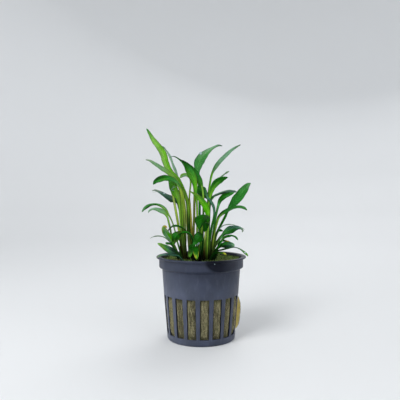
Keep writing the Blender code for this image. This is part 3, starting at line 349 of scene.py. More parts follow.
def wool_material():
    """Wet rock wool: greyish olive mineral felt with upright brown streaks of root stain. Its tone
    changes from slot to slot, and a tufted skin of green algae covers its top."""
    made, put = new_material("wet_rock_wool")
    place = put("TexCoord")["Object"]
    upright = put("Mapping", {"Vector": place, "Scale": (1, 1, 0.16)})[0]
    tone = put("Attribute", attribute_name="tone")["Fac"]
    height = put("SeparateXYZ", {0: place})["Z"]
    felt = coated(put, "#4A4530", [
        (grains(put, upright, 0.8, 4, 0.36, 0.66, rough=0.6), "#94906C"),
        (grains(put, place, 5, 3, 0.4, 0.66, 0, 0.5), "#3A3522"),
        (grains(put, place, 3, 2, 0.52, 0.72, 0, 0.5), "#50582A")])
    # The tone lightens or darkens the felt; its dark slot edges and the dark wool between the slots are
    # painted shade
    lit = put("MapRange", {0: tone, 2: 2, 3: 0.45, 4: 1.85})[0]
    felt = put("Mix", {0: 1.0, 6: felt, 7: lit}, data_type="RGBA", blend_type="MULTIPLY")[2]
    dry = put("MapRange", {0: tone, 1: 1.3, 2: 1.9, 4: 0.8})[0]
    skin = coated(put, "#1A2511", [(grains(put, place, 1.3, 3, 0.42, 0.6), "#4C6226")])
    on_top = put("MapRange", {0: height, 1: 0.0448, 2: 0.046, 4: 0.9})[0]
    fuzz = grains(put, upright, 0.35, 4, rough=0.7)
    put("OutputMaterial", {0: put("BsdfPrincipled", {
        "Base Color": coated(put, felt, [(dry, "#CDB862"), (on_top, skin)]),
        "Roughness": 0.85,
        "Normal": put("Bump", {"Height": fuzz, "Distance": 0.3 * MM, "Strength": 0.9})[0],
        "Specular IOR Level": 0.3,
    })[0]})
    return made


def strand_material(name, dark, light, size, roughness):
    """Thin threads, whose colour changes from dark to light in grains of that size."""
    made, put = new_material(name)
    share = grains(put, put("TexCoord")["Object"], size, 2, 0.35, 0.65)
    colour = coated(put, dark, [(share, light)])
    put("OutputMaterial", {0: put("BsdfPrincipled", {"Base Color": colour, "Roughness": roughness})[0]})
    return made


def water_material():
    """Hard water, slightly milky with lime: it bends the leaf under it, shines and looks bluish."""
    made, put = new_material("hard_water")
    put("OutputMaterial", {0: put("BsdfPrincipled", {
        "Base Color": "#CBE5E7", "Transmission Weight": 0.45, "Roughness": 0.08, "IOR": 1.33})[0]})
    return made


def read(rows, what, wide, kind=np.float32):
    """A property of all rows of a mesh as one array."""
    found = np.empty(len(rows) * wide, kind)
    rows.foreach_get(what, found)
    return found.reshape(-1, wide)


def grid_faces(rows, columns, first=0):
    """Quads of a grid that is closed round its columns."""
    r, c = np.meshgrid(np.arange(rows - 1), np.arange(columns), indexing="ij")
    ahead = (c + 1) % columns
    row, next_row = r * columns + first, (r + 1) * columns + first
    return np.stack([row + c, row + ahead, next_row + ahead, next_row + c], 2).reshape(-1, 4)


def grid_ends(rows, columns, first=0):
    """Triangles that close such a grid at both ends, with the two points that follow it."""
    ring = first + np.arange(columns)
    pole = first + rows * columns
    ends = ((ring, pole), (ring + (rows - 1) * columns, pole + 1))
    fans = [np.stack([edge, np.roll(edge, -1), np.full(columns, tip)], 1) for edge, tip in ends]
    return np.concatenate(fans)


def show(name, data):
    """A new object with that data, in the scene."""
    made = bpy.data.objects.new(name, data)
    bpy.context.scene.collection.objects.link(made)
    return made


def build(name, points, faces, finish):
    """A mesh object on the root body, from points in millimetres and arrays of faces, turned outwards."""
    mesh = bpy.data.meshes.new(name)
    mesh.from_pydata((points * MM).tolist(), [], [face for rows in faces for face in rows.tolist()])
    shape = bmesh.new()
    shape.from_mesh(mesh)
    bmesh.ops.recalc_face_normals(shape, faces=shape.faces)
    shape.to_mesh(mesh)
    shape.free()
    mesh.shade_smooth()
    mesh.materials.append(finish)
    made = show(name, mesh)
    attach(made, "root")
    return made


def mark(made, name, values):
    """A number for each point of a piece, which its material reads by that name."""
    made.data.attributes.new(name, "FLOAT", "POINT").data.foreach_set("value", values.astype(np.float32))


def unit(rows):
    """Each row divided by its length."""
    return rows / np.linalg.norm(rows, axis=-1, keepdims=True)


def smooth_step(value, low, high):
    """0 under low and 1 over high, and between them 3 t squared less 2 t cubed."""
    t = np.clip((value - low) / (high - low), 0, 1)
    return t * t * (3 - 2 * t)


def seen(points):
    """Where real points show in the upright plane through the pot's axis: their line of sight from the
    eye is followed to that plane."""
    scale = -EYE[1] / (points[..., 1] - EYE[1])
    return EYE[[0, 2]] + (points[..., [0, 2]] - EYE[[0, 2]]) * scale[..., None]


def smooth_curve(knots, values, places):
    """Rows of values at places on a smooth curve through those at the knots: a cubic from knot to knot,
    whose slope at a knot is that of the line between the knots on either side."""
    each = np.arange(len(knots))
    low, high = np.maximum(each - 1, 0), np.minimum(each + 1, len(knots) - 1)
    slopes = (values[high] - values[low]) / (knots[high] - knots[low])[:, None]
    cell = np.clip(np.searchsorted(knots, places, side="right") - 1, 0, len(knots) - 2)
    step = (knots[cell + 1] - knots[cell])[:, None]
    t = (places - knots[cell])[:, None] / step
    return ((2 * t**3 - 3 * t**2 + 1) * values[cell] + (3 * t**2 - 2 * t**3) * values[cell + 1]
            + (t**3 - 2 * t**2 + t) * step * slopes[cell] + (t**3 - t**2) * step * slopes[cell + 1])


def waves(points, size, seed):
    """Smooth noise about -1 to 1: an eighth of the sum of 24 sine waves of about that length."""
    draw = np.random.default_rng(seed)
    ways = unit(draw.normal(size=(24, 3))) * math.tau / size * draw.uniform(0.6, 1.5, (24, 1))
    return np.sin(points @ ways.T + draw.uniform(0, math.tau, 24)).mean(axis=-1) * 3


def leaf_rings(node):
    """A leaf's solid read back as rings of four points from foot to tip, and its tip.

    Doubles are merged, and steps between points are counted along the edges. The tip is the one point
    that has four others at each number of steps, and those at k steps from it are a ring. Returns None if
    there is no such point.
    """
    mesh = frame["nodes"][node].data
    mesh.calc_loop_triangles()
    points = read(mesh.vertices, "co", 3).astype(float) / MM
    corners = read(mesh.loop_triangles, "vertices", 3, np.int32)
    apart = np.linalg.norm(points[:, None] - points[None], axis=2)
    kept, number = np.unique(np.argmax(apart < MERGE, axis=1), return_inverse=True)
    points, corners = points[kept], number[corners]
    count = len(points)
    joined = np.eye(count, dtype=int)
    joined[corners, np.roll(corners, 1, axis=1)] = 1
    joined[np.roll(corners, 1, axis=1), corners] = 1
    steps, reached = np.zeros((count, count), int), np.eye(count, dtype=int)
    while not reached.all() and steps.max() < count:
        steps += reached == 0
        reached = np.minimum(reached @ joined, 1)
    rings = (count - 1) // 4
    on_ring = (steps[:, :, None] == np.arange(1, rings + 1)).sum(axis=1)
    tips = np.flatnonzero((on_ring == 4).all(axis=1))
    if len(tips) != 1 or count != rings * 4 + 1:
        return None
    order = np.argsort(steps[tips[0]], kind="stable")[::-1]
    return points[order[:-1]].reshape(rings, 4, 3), points[tips[0]]


def leaf_line(rings, tip):
    """A row for each of a leaf's rings and its tip: the middle, the sideways and the frontward direction,
    the width and the thickness.

    A ring's four points are two pairs with nearly the same middle: the two edges, and the two faces of
    the midrib. At the widest ring the longer pair is the edges, which stand in front of the midrib. Each
    other ring takes the pair that points most nearly as its neighbour's does.
    """
    count = len(rings)
    each = np.arange(count)
    ends = rings[:, np.array([[[0, 1], [2, 3]], [[0, 2], [1, 3]], [[0, 3], [1, 2]]])]
    middles = ends.mean(axis=3)
    best = np.linalg.norm(middles[:, :, 0] - middles[:, :, 1], axis=2).argmin(axis=1)
    ends, middles = ends[each, best], middles[each, best]
    reach = ends[:, :, 1] - ends[:, :, 0]
    size = np.linalg.norm(reach, axis=2)
    wide = int(size.max(axis=1)[1:].argmax()) + 1
    pick = np.zeros(count, int)
    pick[wide] = size[wide].argmax()
    side, front = np.zeros((count, 3)), np.zeros((count, 3))
    side[wide], front[wide] = reach[wide, pick[wide]], reach[wide, 1 - pick[wide]]
    front[wide] *= np.sign(front[wide] @ (middles[wide, pick[wide]] - middles[wide, 1 - pick[wide]]))
    for step, last in ((1, count), (-1, 0)):
        for k in range(wide + step, last, step):
            pick[k] = np.abs(reach[k] @ side[k - step] / size[k]).argmax()
            side[k] = reach[k, pick[k]] * np.sign(reach[k, pick[k]] @ side[k - step])
            front[k] = reach[k, 1 - pick[k]] * np.sign(reach[k, 1 - pick[k]] @ front[k - step])
    centre = middles[each, 1 - pick]
    side[0], front[0], centre[0] = side[1], front[1], rings[0].mean(axis=0)
    if np.cross(front[wide], centre[wide] - centre[wide - 1]) @ side[wide] < 0:
        side = -side
    width = np.append(np.linalg.norm(side, axis=1), LEAST_TIP)
    thick = np.append(np.linalg.norm(front, axis=1), LEAST_TIP)
    side, front = (unit(np.concatenate([rows, rows[-1:]])) for rows in (side, front))
    return np.column_stack([np.concatenate([centre, [tip]]), side, front, width, thick])


def spread(colours, share):
    """Colours spread evenly over 0 to 1, mixed at each share."""
    places = np.linspace(0, 1, len(colours))
    return np.stack([np.interp(share, places, colours[:, k]) for k in range(3)], axis=-1)


def fullness(halves, share):
    """The factors on the widths of a leaf's left-hand and right-hand half, at shares of its length. One
    half stands for both, and none leaves the widths as they are."""
    halves = halves or ["0:1"]
    rows = [np.array([pair.split(":") for pair in half.split()], float) for half in (halves[0], halves[-1])]
    return [np.interp(100 * share, *row.T) for row in rows]


def leaf_shape(leaf, number, line):
    """A leaf's closed surface over (distance along, place round its section), its colours and its map.

    The stalk's section is an ellipse with a groove in front, at least 0.85 as deep as it is wide. The
    blade's is a thin lens, s from -1 to 1 across: its edges stand in front of its middle by a fold of
    0.11 (width - 1.3) times |s| to the power 1.4, and by a wave that grows with s squared. The midrib is
    a groove in front and a ridge behind, 0.5 mm wide. Between stalk and blade the two sections are mixed
    by the width.
    """
    fields = LEAVES[leaf].split("|")
    stalk, left, right, back, margin = map(named, fields[:5])
    knots = np.append(0, np.cumsum(np.linalg.norm(np.diff(line[:, :3], axis=0), axis=1)))
    length = knots[-1]
    along = length * (1 - (1 - np.linspace(0, 1, STATIONS)) ** 1.15)
    centre, side, front, width, thick = np.split(smooth_curve(knots, line, along), [3, 6, 9, 10], axis=1)
    along = along[:, None]
    side = unit(side)
    front = unit(front - side * (front * side).sum(axis=1, keepdims=True))
    width, thick = np.maximum(width, LEAST_STALK), np.maximum(thick, LEAST_TIP)
    blade = smooth_step(width, *STALK_TO_BLADE)
    start = along[np.argmax(blade > 0.02), 0] if (blade > 0.02).any() else length
    swell = 0.3 * np.exp(-along / 2.5)
    tip = np.sqrt(1 - (0.93 * np.clip((along - length) / 0.7 + 1, 0, 1)) ** 2)
    beyond = along > along[width.argmax()]
    width = (width + swell + np.where(beyond, 0.3, 0.12) * (1 - smooth_step(width, 1.3, 3.0))) * tip
    left_full, right_full = fullness(fields[5:], along / length)
    thick = np.maximum(thick + swell + 0.15 * (1 - blade), 0.85 * width * (1 - blade))
    thick = thick * np.minimum(left_full, 1)

    draw = np.random.default_rng(900 + number)
    s = np.concatenate([ACROSS, ACROSS[-2:0:-1]])
    face = np.concatenate([np.ones(len(ACROSS)), -np.ones(len(ACROSS) - 2)])
    out = (1 - blade) * np.sin(s * math.pi / 2) + blade * s
    groove = 0.16 * thick * np.exp(-(s / 0.3) ** 2) * (face > 0)
    round_up = face * np.cos(s * math.pi / 2) * thick / 2 - groove
    rib = np.exp(-(s * width / 2 / 0.34) ** 2)
    lens = 0.05 + 0.11 * (1 - s * s)
    thin = np.where(face > 0, lens - 0.09 * rib, -lens - 0.22 * rib)
    fold = 0.11 * np.maximum(width - 1.3, 0) * np.abs(s) ** 1.4
    turns = along / draw.uniform(7, 11) * math.tau
    phase = np.where(s > 0, draw.uniform(0, math.tau), draw.uniform(0, math.tau))
    wave = 0.045 * width * s * s * np.sin(turns + phase)
    up = (1 - blade) * round_up + blade * (thin + fold + wave)
    edge = 1 + 0.03 * np.sin(turns * 1.7 + phase + 1) * blade
    sideways = out * edge * np.where(s > 0, left_full, right_full) * width / 2
    points = centre[:, None] + side[:, None] * sideways[..., None] + front[:, None] * up[..., None]

    # A first ring in the wool takes the looks of the foot above it
    points = np.concatenate([points[:1] - [0, 0, ROOTED], points])
    along, width, blade = (np.concatenate([rows[:1], rows]) for rows in (along, width, blade))
    share = np.clip((along - start) / max(length - start, 1), 0, 1)
    mix = smooth_step(s, -0.12, 0.12)[:, None]
    top = spread(right, share) * (1 - mix) + spread(left, share) * mix
    under = top * 0.45 + spread(back, share) * 0.55
    midrib = 1 + np.exp(-(s / 0.08) ** 2)[:, None] * [0.5, 0.3, 0.3]
    colour = np.where(face[:, None] > 0, top, under) * midrib
    rim = (0.75 * smooth_step(np.abs(s), 0.72, 0.97) * smooth_step(width, 1.1, 2.4))[..., None]
    colour = colour * (1 - rim) + spread(margin, share) * rim
    # Painted shading on a round stalk: paler along its middle and darker at its sides
    painted_round_shading = (1.85 - 1.5 * np.sin(s * math.pi / 2) ** 2)[:, None]
    stalk_colour = spread(stalk, np.clip(along / max(start, 1), 0, 1)) * painted_round_shading
    blend = smooth_step(np.maximum.accumulate(blade), 0.0, 0.5)[..., None]
    colour = stalk_colour * (1 - blend) + colour * blend
    # The lowest 10 mm near the axis are darkened: partly stained, partly painted shade among the crowded
    # stalks
    near = 1 - smooth_step(np.hypot(points[..., 0], points[..., 1]), 11, 17)
    stain_and_shade = near * (1 - smooth_step(points[..., 2], 48, 58))
    colour = colour * (1 - 0.6 * stain_and_shade[..., None])
    tint = np.concatenate([colour, np.broadcast_to(blade[..., None], (*colour.shape[:2], 1))], axis=2)

    rows, columns = points.shape[:2]
    beyond_tip = points[-1].mean(axis=0) + (points[-1] - points[-2]).mean(axis=0) * 0.1
    points = np.concatenate([points.reshape(-1, 3), [points[0].mean(axis=0), beyond_tip]])
    tints = np.concatenate([tint.reshape(-1, 4), tint[0, :1], tint[-1, :1]])
    spots = np.stack(np.broadcast_arrays(along / MAP_LENGTH, (s + 1) / 2), axis=2).reshape(-1, 2)
    spots = np.concatenate([spots, [[0, 0.5], [length / MAP_LENGTH, 0.5]]])
    return points, [grid_faces(rows, columns), grid_ends(rows, columns)], tints, spots


def make_leaves():
    """Every leaf in place of its solid. A solid that isn't read as a leaf stays, with a leaf's finish."""
    # Young tissue is the mattest. Old tissue is leathery and smoother, and waxy tissue shines most.
    finishes = {
        "bright_leaf": leaf_material("young_leaf_tissue", 0.46, 0.07),
        "green_leaf": leaf_material("grown_leaf_tissue", 0.44, 0.07),
        "dark_leaf": leaf_material("old_leathery_leaf_tissue", 0.38, 0.06),
        "teal_leaf": leaf_material("waxy_leaf_tissue", 0.4, 0.16),
    }
    slots = {row["node"]: row["material_slot"] for row in frame["record"]["subparts"]}
    grown = {}
    for number, leaf in enumerate(LEAVES):
        node = leaf + "_leaf"
        slot = slots[node]
        rings = leaf_rings(node)
        if rings is None:
            frame["nodes"][node].data.materials[0] = finishes[slot]
            continue
        points, faces, tints, spots = leaf_shape(leaf, number, leaf_line(*rings))
        made = build("leaf_" + leaf, points, faces, finishes[slot])
        mesh = made.data
        tint = mesh.color_attributes.new("tint", "FLOAT_COLOR", "POINT")
        tint.data.foreach_set("color", tints.ravel().astype(np.float32))
        corners = read(mesh.loops, "vertex_index", 1, np.int32)[:, 0]
        mesh.uv_layers.new(name="leaf_map").data.foreach_set("uv", spots[corners].ravel().astype(np.float32))
        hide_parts(node)
        grown[leaf] = made
    return grown


def body_radius(height):
    """Outside radius of the pot's tapered body at a height."""
    return np.interp(height, BODY_HEIGHTS, BODY_RADII)


def around(angle, radius, height):
    """Points at angles from the front, towards the right."""
    return np.stack(np.broadcast_arrays(radius * np.sin(angle), -radius * np.cos(angle), height), axis=-1)


def column_angles(radius, count, per_sector, cells, half_width, first, shift):
    """Angles of a ring's columns: in each sector a few cells span an opening of fixed width, and the rest
    are spread evenly to the next one."""
    j = np.arange(count * per_sector) - shift
    sector, m = j // per_sector, j % per_sector
    half = math.asin(half_width / radius)
    pitch = math.tau / count
    inside = -half + 2 * half * m / cells
    beyond = half + (pitch - 2 * half) * (m - cells) / (per_sector - cells)
    return first + sector * pitch + np.where(m <= cells, inside, beyond)


def make_pot(finish):
    """The pot: a profile carried round the axis, from the inside of the floor up the inner wall, over the
    lip, down the outer wall and under the floor. Cells in the slots and drains are left out on both
    skins, and the skins are joined round each opening."""
    slot_rows = np.linspace(SLOT_FOOT, SLOT_TOP, 13)
    body = [(body_radius(z), z) for z in (0.8, 2.2, *slot_rows, 29, 32, 35.5, 39, 42.1)]
    outer = [(BASE_EDGE, 0), (20.25, 0.1), (20.52, 0.36), *body, (24.05, 42.45), (24.6, 42.85), (25.3, 43.2),
             (25.68, 43.55), (COLLAR_RADIUS, 44.0), (COLLAR_RADIUS, 46.2), (COLLAR_RADIUS, 48.2)]
    lip = [(25.95, 48.55), (26.4, 48.8), (27.15, 49.0), (27.42, 49.2), (LIP_RADIUS, 49.5), (27.4, 49.82),
           (27.1, POT_HEIGHT), (26.2, POT_HEIGHT), (25.35, 49.96), (24.98, 49.8), (COLLAR_INSIDE, 49.45)]
    inner = [(19.6, FLOOR), *[(r - WALL, z) for r, z in body[1:]], (23.3, 42.9), (24.1, 43.5), (24.62, 43.9),
             (COLLAR_INSIDE, 44.4), (COLLAR_INSIDE, 47)]
    floor_radii = [0.4, 4.0, DRAIN_INNER, 12.2, DRAIN_OUTER]
    drain_rows = range(2, 5)

    floor_up = [(r, FLOOR) for r in floor_radii]
    floor_down = [(r, 0.0) for r in floor_radii[::-1]]
    profile = np.array([*floor_up, *inner, *lip[::-1], *outer[::-1], *floor_down])
    columns = SLOT_COUNT * SLOT_PITCH
    drain_pitch = columns // DRAIN_COUNT
    rows = len(profile)
    rings = []
    for k, (radius, height) in enumerate(profile):
        if len(floor_radii) <= k < rows - len(floor_radii):
            angle = column_angles(radius, SLOT_COUNT, SLOT_PITCH, SLOT_CELLS, SLOT_HALF_WIDTH, FIRST_SLOT, 0)
        else:
            angle = column_angles(max(radius, DRAIN_INNER), DRAIN_COUNT, drain_pitch, DRAIN_CELLS,
                                  DRAIN_HALF_WIDTH, math.tau / 16, FIRST_DRAIN_COLUMN)
        rings.append(around(angle, radius, height))
    points = np.concatenate([*rings, [[0, 0, FLOOR], [0, 0, 0]]])

    quads = grid_faces(rows, columns).reshape(rows - 1, columns, 4)
    kept = np.ones((rows - 1, columns), bool)
    bridges = []

    def bridge(first_rows, second_rows, open_columns):
        """Joins the two skins round openings whose cells lie between matching rows of each."""
        for rows_here in (first_rows, second_rows):
            kept[min(rows_here):max(rows_here)] &= ~open_columns
        a, b = np.array(first_rows) * columns, np.array(second_rows) * columns
        starts = np.flatnonzero(open_columns & ~np.roll(open_columns, 1))
        ends = np.flatnonzero(open_columns & ~np.roll(open_columns, -1)) + 1
        for edge in (starts, ends % columns):
            corners = [a[:-1, None] + edge, a[1:, None] + edge, b[1:, None] + edge, b[:-1, None] + edge]
            bridges.append(np.stack(corners, 2).reshape(-1, 4))
        here = np.flatnonzero(open_columns)
        ahead = (here + 1) % columns
        for end in (0, -1):
            bridges.append(np.stack([a[end] + here, a[end] + ahead, b[end] + ahead, b[end] + here], 1))

    column = np.arange(columns)
    foot_inside = len(floor_up) + 2
    foot_outside = rows - len(floor_down) - 6
    steps = range(len(slot_rows))
    in_slot = column % SLOT_PITCH < SLOT_CELLS
    in_drain = (column - FIRST_DRAIN_COLUMN) % drain_pitch < DRAIN_CELLS
    bridge([foot_inside + k for k in steps], [foot_outside - k for k in steps], in_slot)
    bridge(drain_rows, [rows - 1 - k for k in drain_rows], in_drain)
    faces = [np.concatenate([quads[kept], *bridges]), grid_ends(rows, columns)]
    made = build("pot_shell", points, faces, finish)
    inside = np.arange(rows) < len(floor_up) + len(inner)
    mark(made, "inside", np.append(np.repeat(inside, columns), [1, 0]))
    soft = made.modifiers.new("soft_edges", "BEVEL")
    soft.width = EDGE_ROUNDING * MM
    soft.segments = 2
    soft.limit_method = "ANGLE"
    soft.angle_limit = math.radians(40)
    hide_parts("net_pot")
    return made


def slot_place(angle, height):
    """The nearest slot's number, the place across it from -1 at its left edge to 1, and the radius of the
    inside of the wall."""
    pitch = math.tau / SLOT_COUNT
    number = np.round((angle - FIRST_SLOT) / pitch)
    inside = np.interp(height, (0, 26.5, 42.3, 44.6, 47), (19.3, 21.5, 22.65, 24.3, 24.4))
    across = (angle - FIRST_SLOT - number * pitch) * (inside + 1.2) / 2.45
    return number.astype(int) % SLOT_COUNT, across, inside


def wool_reach(angle, height):
    """How far the wool reaches from the axis: to the inside of the wall, and in each slot out past the
    wall.

    In a slot it stands out by (1 - x to the power 4) across and by (1 - y to the power 10) in height,
    times the slot's own swelling. On the right-hand side it has burst out of its slot by 2.3 mm.
    """
    number, x, inside = slot_place(angle, height)
    middle, half = (SLOT_FOOT + SLOT_TOP) / 2, (SLOT_TOP - SLOT_FOOT) / 2 - 0.25
    y = (height - middle) / half
    window = np.clip(1 - x**4, 0, 1) * np.clip(1 - y**10, 0, 1)
    swellings = np.random.default_rng(7).uniform(-0.7, 0.1, SLOT_COUNT)
    swellings[[2, 3, 14, 15, 16]] = (-0.7, -0.1, -0.9, -0.35, -0.75)
    burst = (number == 4) * 2.3 * np.exp(-((height - 15) / 9.5) ** 4)
    return inside + window * (1.25 + swellings[number] + burst)


def wool_tone(angle, height):
    """Brightness of the wool from 0 to 2: each slot has a tone at its left edge, middle and right edge,
    and the wool between the slots is dark. The slots that the photograph shows have tones of their own."""
    number, x, _ = slot_place(angle, height)
    tones = np.random.default_rng(11).uniform(0.15, 0.95, (SLOT_COUNT, 3))
    # These tones are partly the wool's own stained colour and partly painted shade at the slot edges where
    # the wool sinks behind the ribs
    tones[[2, 3, 4, 15, 16]] = [
        (0.15, 0.3, 0.8), (0.8, 0.3, 0.4), (2.0, 1.7, 1.1), (0.3, 1.2, 1.0), (0.1, 0.15, 0.3)]
    left, middle, right = tones[number].transpose(2, 0, 1)
    side = np.where(x < 0, left, right)
    # The wool between the slots is set dark as painted shade behind the wall
    return np.where(np.abs(x) > 1.1, 0.2, middle + (side - middle) * smooth_step(np.abs(x), 0.1, 0.6))


def make_wool(finish):
    """The plug of wool: its side is wool_reach over angle and height, its top is level, and noise of 1.1
    mm and 3.5 mm roughens it in the slots and on its top."""
    columns = SLOT_COUNT * WOOL_COLUMNS
    angle = FIRST_SLOT + np.arange(columns) * math.tau / columns
    below_slots, above_slots = [1.75, 3.0, 4.0], [27.3, 29, 32, 35, 38, 41, 43, 45, 46.3]
    side_heights = np.concatenate([below_slots, np.linspace(4.3, 26.9, 50), above_slots])[:, None]
    side = around(angle, wool_reach(angle[None], side_heights), side_heights)
    top = around(angle, np.linspace(23.8, 0.6, 34)[:, None], WOOL_TOP)
    under = around(angle, np.array([4.0, 12, 18])[:, None], WOOL_FOOT)
    flat = np.concatenate([under, side, top])
    rows = len(flat)
    flat = flat.reshape(-1, 3)
    far = np.linalg.norm(flat[:, :2], axis=1)
    rough = 0.16 * waves(flat, 1.1, 3) + 0.3 * waves(flat, 3.5, 4)
    in_slot = (far > body_radius(flat[:, 2]) - 0.6) & (flat[:, 2] < 28)
    level = flat[:, 2] > WOOL_TOP - 0.1
    flat[:, :2] *= 1 + (rough * in_slot / np.maximum(far, 1))[:, None]
    flat[:, 2] += (rough * 1.1 + 0.5 * waves(flat, 7, 5)) * level
    points = np.concatenate([flat, [[0, 0, WOOL_FOOT], [0, 0, WOOL_TOP]]])
    made = build("wool_plug", points, [grid_faces(rows, columns), grid_ends(rows, columns)], finish)
    tone = np.full((rows, columns), 0.5)
    tone[len(under):len(under) + len(side)] = wool_tone(np.broadcast_to(angle, side.shape[:2]), side_heights)
    mark(made, "tone", np.append(tone, [0.5, 0.5]))
    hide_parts("rock_wool")


def tubes(name, paths, radii, finish, sides=3):
    """Many thin threads in one mesh: each path is a row of points, and each ring stands square to it. A
    thread's radius narrows to a third at its end, and both its ends are closed."""
    count, steps = paths.shape[:2]
    ahead = unit(np.gradient(paths, axis=1))
    other = unit(np.random.default_rng(count).normal(size=(count, 1, 3)))
    first = unit(np.cross(ahead, other))
    second = np.cross(ahead, first)
    turn = np.arange(sides) * math.tau / sides
    taper = np.linspace(1, 0.33, steps)[None, :, None, None] * radii[:, None, None, None]
    ring = first[:, :, None] * np.cos(turn)[:, None] + second[:, :, None] * np.sin(turn)[:, None]
    points = (paths[:, :, None] + ring * taper).reshape(-1, 3)
    size = steps * sides
    starts = np.arange(count)[:, None] * size
    quads = (grid_faces(steps, sides) + starts[:, None]).reshape(-1, 4)
    cap = np.arange(sides)
    caps = np.concatenate([cap[::-1] + starts, cap + starts + size - sides])
    build(name, points, [quads, caps], finish)


def make_wool_fibres(finish):
    """Loose mineral fibres that lie on the wool in the slots, mostly upright and slightly bowed."""
    count = 1300
    number = CHANCE.integers(0, SLOT_COUNT, (count, 1))
    across = CHANCE.uniform(-2.1, 2.1, (count, 1))
    low = CHANCE.uniform(SLOT_FOOT + 0.5, SLOT_TOP - 5, (count, 1))
    length = CHANCE.uniform(2.5, 7, (count, 1))
    lean = CHANCE.normal(0, 0.22, (count, 1))
    t = np.linspace(0, 1, 5)
    height = np.minimum(low + length * t, SLOT_TOP - 0.4)
    sway = across + lean * length * t + CHANCE.normal(0, 0.35, (count, 1)) * np.sin(t * 3)
    sway = np.clip(sway, -2.3, 2.3)
    angle = FIRST_SLOT + number * math.tau / SLOT_COUNT + sway / 22.5
    lift = 0.1 + CHANCE.uniform(0, 0.35, (count, 1)) * np.sin(t * math.pi)
    paths = around(angle, wool_reach(angle, height) + lift, height)
    tubes("wool_fibres", paths, CHANCE.uniform(0.05, 0.11, count), finish)


def make_moss(name, count, spots, reach, heights, radii, finish):
    """Short curved threads that stand on top of the wool round the given spots (x, y, spread)."""
    chosen = np.array(spots, float)[CHANCE.integers(0, len(spots), count)]
    foot = chosen[:, :2] + CHANCE.normal(0, 1, (count, 2)) * chosen[:, 2:]
    foot = foot * np.minimum(1, 23.6 / np.linalg.norm(foot, axis=1, keepdims=True))
    way = CHANCE.uniform(0, math.tau, (count, 1))
    out = CHANCE.uniform(0.2, 1, (count, 1)) * reach
    tall = CHANCE.uniform(*heights, (count, 1))
    t = np.linspace(0, 1, 5)
    x = foot[:, :1] + np.cos(way) * out * t**1.4
    y = foot[:, 1:] + np.sin(way) * out * t**1.4
    z = WOOL_TOP - 0.4 + tall * (1.3 * t - 0.3 * t**3)
    within_pot = np.minimum(1, 24.3 / np.hypot(x, y))
    tubes(name, np.stack([x * within_pot, y * within_pot, z], axis=2), CHANCE.uniform(*radii, count), finish)


def make_drops(grown, finish):
    """Drops of water on the leaves, sunk a little into the face that shows at the given place: domes of
    height 0.62 radius, and rings, which are tubes round a drop that has dried from its middle."""
    drops = [
        ("top_centre", (-0.4, 113.0), 0.95, False),
        ("top_centre", (-2.2, 100.8), 0.6, False),
        ("broad_left", (-17.4, 90.6), 0.8, True),
        ("broad_left", (-16.6, 92.6), 0.6, True),
        ("blue_left", (-22.8, 88.4), 0.6, False),
        ("low_centre", (-1.8, 57.0), 0.95, True),
        ("rim_right", (27.2, 51.8), 0.5, False),
        ("small_centre", (4.2, 68.8), 0.4, False),
        ("pot_shell", (8.2, 44.5), 0.35, False),
    ]
    rows, columns = 7, 18
    turn = np.arange(columns) * math.tau / columns
    polar = (np.linspace(0.02, 1, rows) * math.pi * 0.62)[:, None]
    dome = around(turn, np.sin(polar), 0.62 * np.cos(polar) + 0.02).reshape(-1, 3)
    round_tube = (np.arange(rows) * math.tau / rows)[:, None]
    ring = around(turn, 1 + 0.13 * np.cos(round_tube), 0.15 * np.sin(round_tube) + 0.1).reshape(-1, 3)
    points, faces = [], []
    for leaf, place, radius, hollow in drops:
        if leaf not in grown:
            continue
        mesh = grown[leaf].data
        co = read(mesh.vertices, "co", 3) / MM
        normals = read(mesh.vertices, "normal", 3)
        away = np.linalg.norm(seen(co) - place, axis=1) + 99 * (normals[:, 1] > 0.1)
        best = int(away.argmin())
        up = normals[best]
        first = unit(np.cross(up, [0.3, 0.2, 0.9]))
        axes = np.stack([np.cross(up, first), -first, up])
        start = sum(map(len, points))
        points.append((ring if hollow else dome) @ axes * radius + co[best] - up * 0.05)
        if hollow:
            faces.append(grid_faces(rows, columns, start))
            seam = start + np.arange(columns)
            last = seam + (rows - 1) * columns
            faces.append(np.stack([last, np.roll(last, -1), np.roll(seam, -1), seam], 1))
        else:
            faces += [grid_faces(rows, columns, start), grid_ends(rows, columns, start)]
            points.append(np.stack([co[best] + up * (0.64 * radius - 0.05), co[best] - up * 0.2]))
    build("water_drops", np.concatenate(points), faces, finish)


def make_split_tips(grown, finish):
    """Dried slivers that split from the tips of two leaves: each starts at the leaf's point nearest to
    its first place and runs through the other places at that point's depth."""
    slivers = [
        ("blue_left", [(-26.3, 90.0), (-27.4, 89.5), (-28.6, 89.2), (-30.0, 89.2)], 0.22),
        ("broad_right", [(24.2, 67.1), (25.2, 67.1), (26.0, 66.8), (26.8, 66.1)], 0.26),
        ("broad_right", [(25.4, 66.4), (25.6, 65.7), (25.4, 65.1), (24.9, 64.7)], 0.26),
    ]
    paths, radii = [], []
    for leaf, places, radius in slivers:
        if leaf not in grown:
            continue
        co = read(grown[leaf].data.vertices, "co", 3) / MM
        depth = co[np.linalg.norm(seen(co) - places[0], axis=1).argmin(), 1]
        real = EYE[[0, 2]] + (np.array(places) - EYE[[0, 2]]) * (EYE[1] - depth) / EYE[1]
        paths.append(np.insert(real, 1, depth, axis=1))
        radii.append(radius)
    tubes("dried_tips", np.array(paths), np.array(radii), finish, 6)


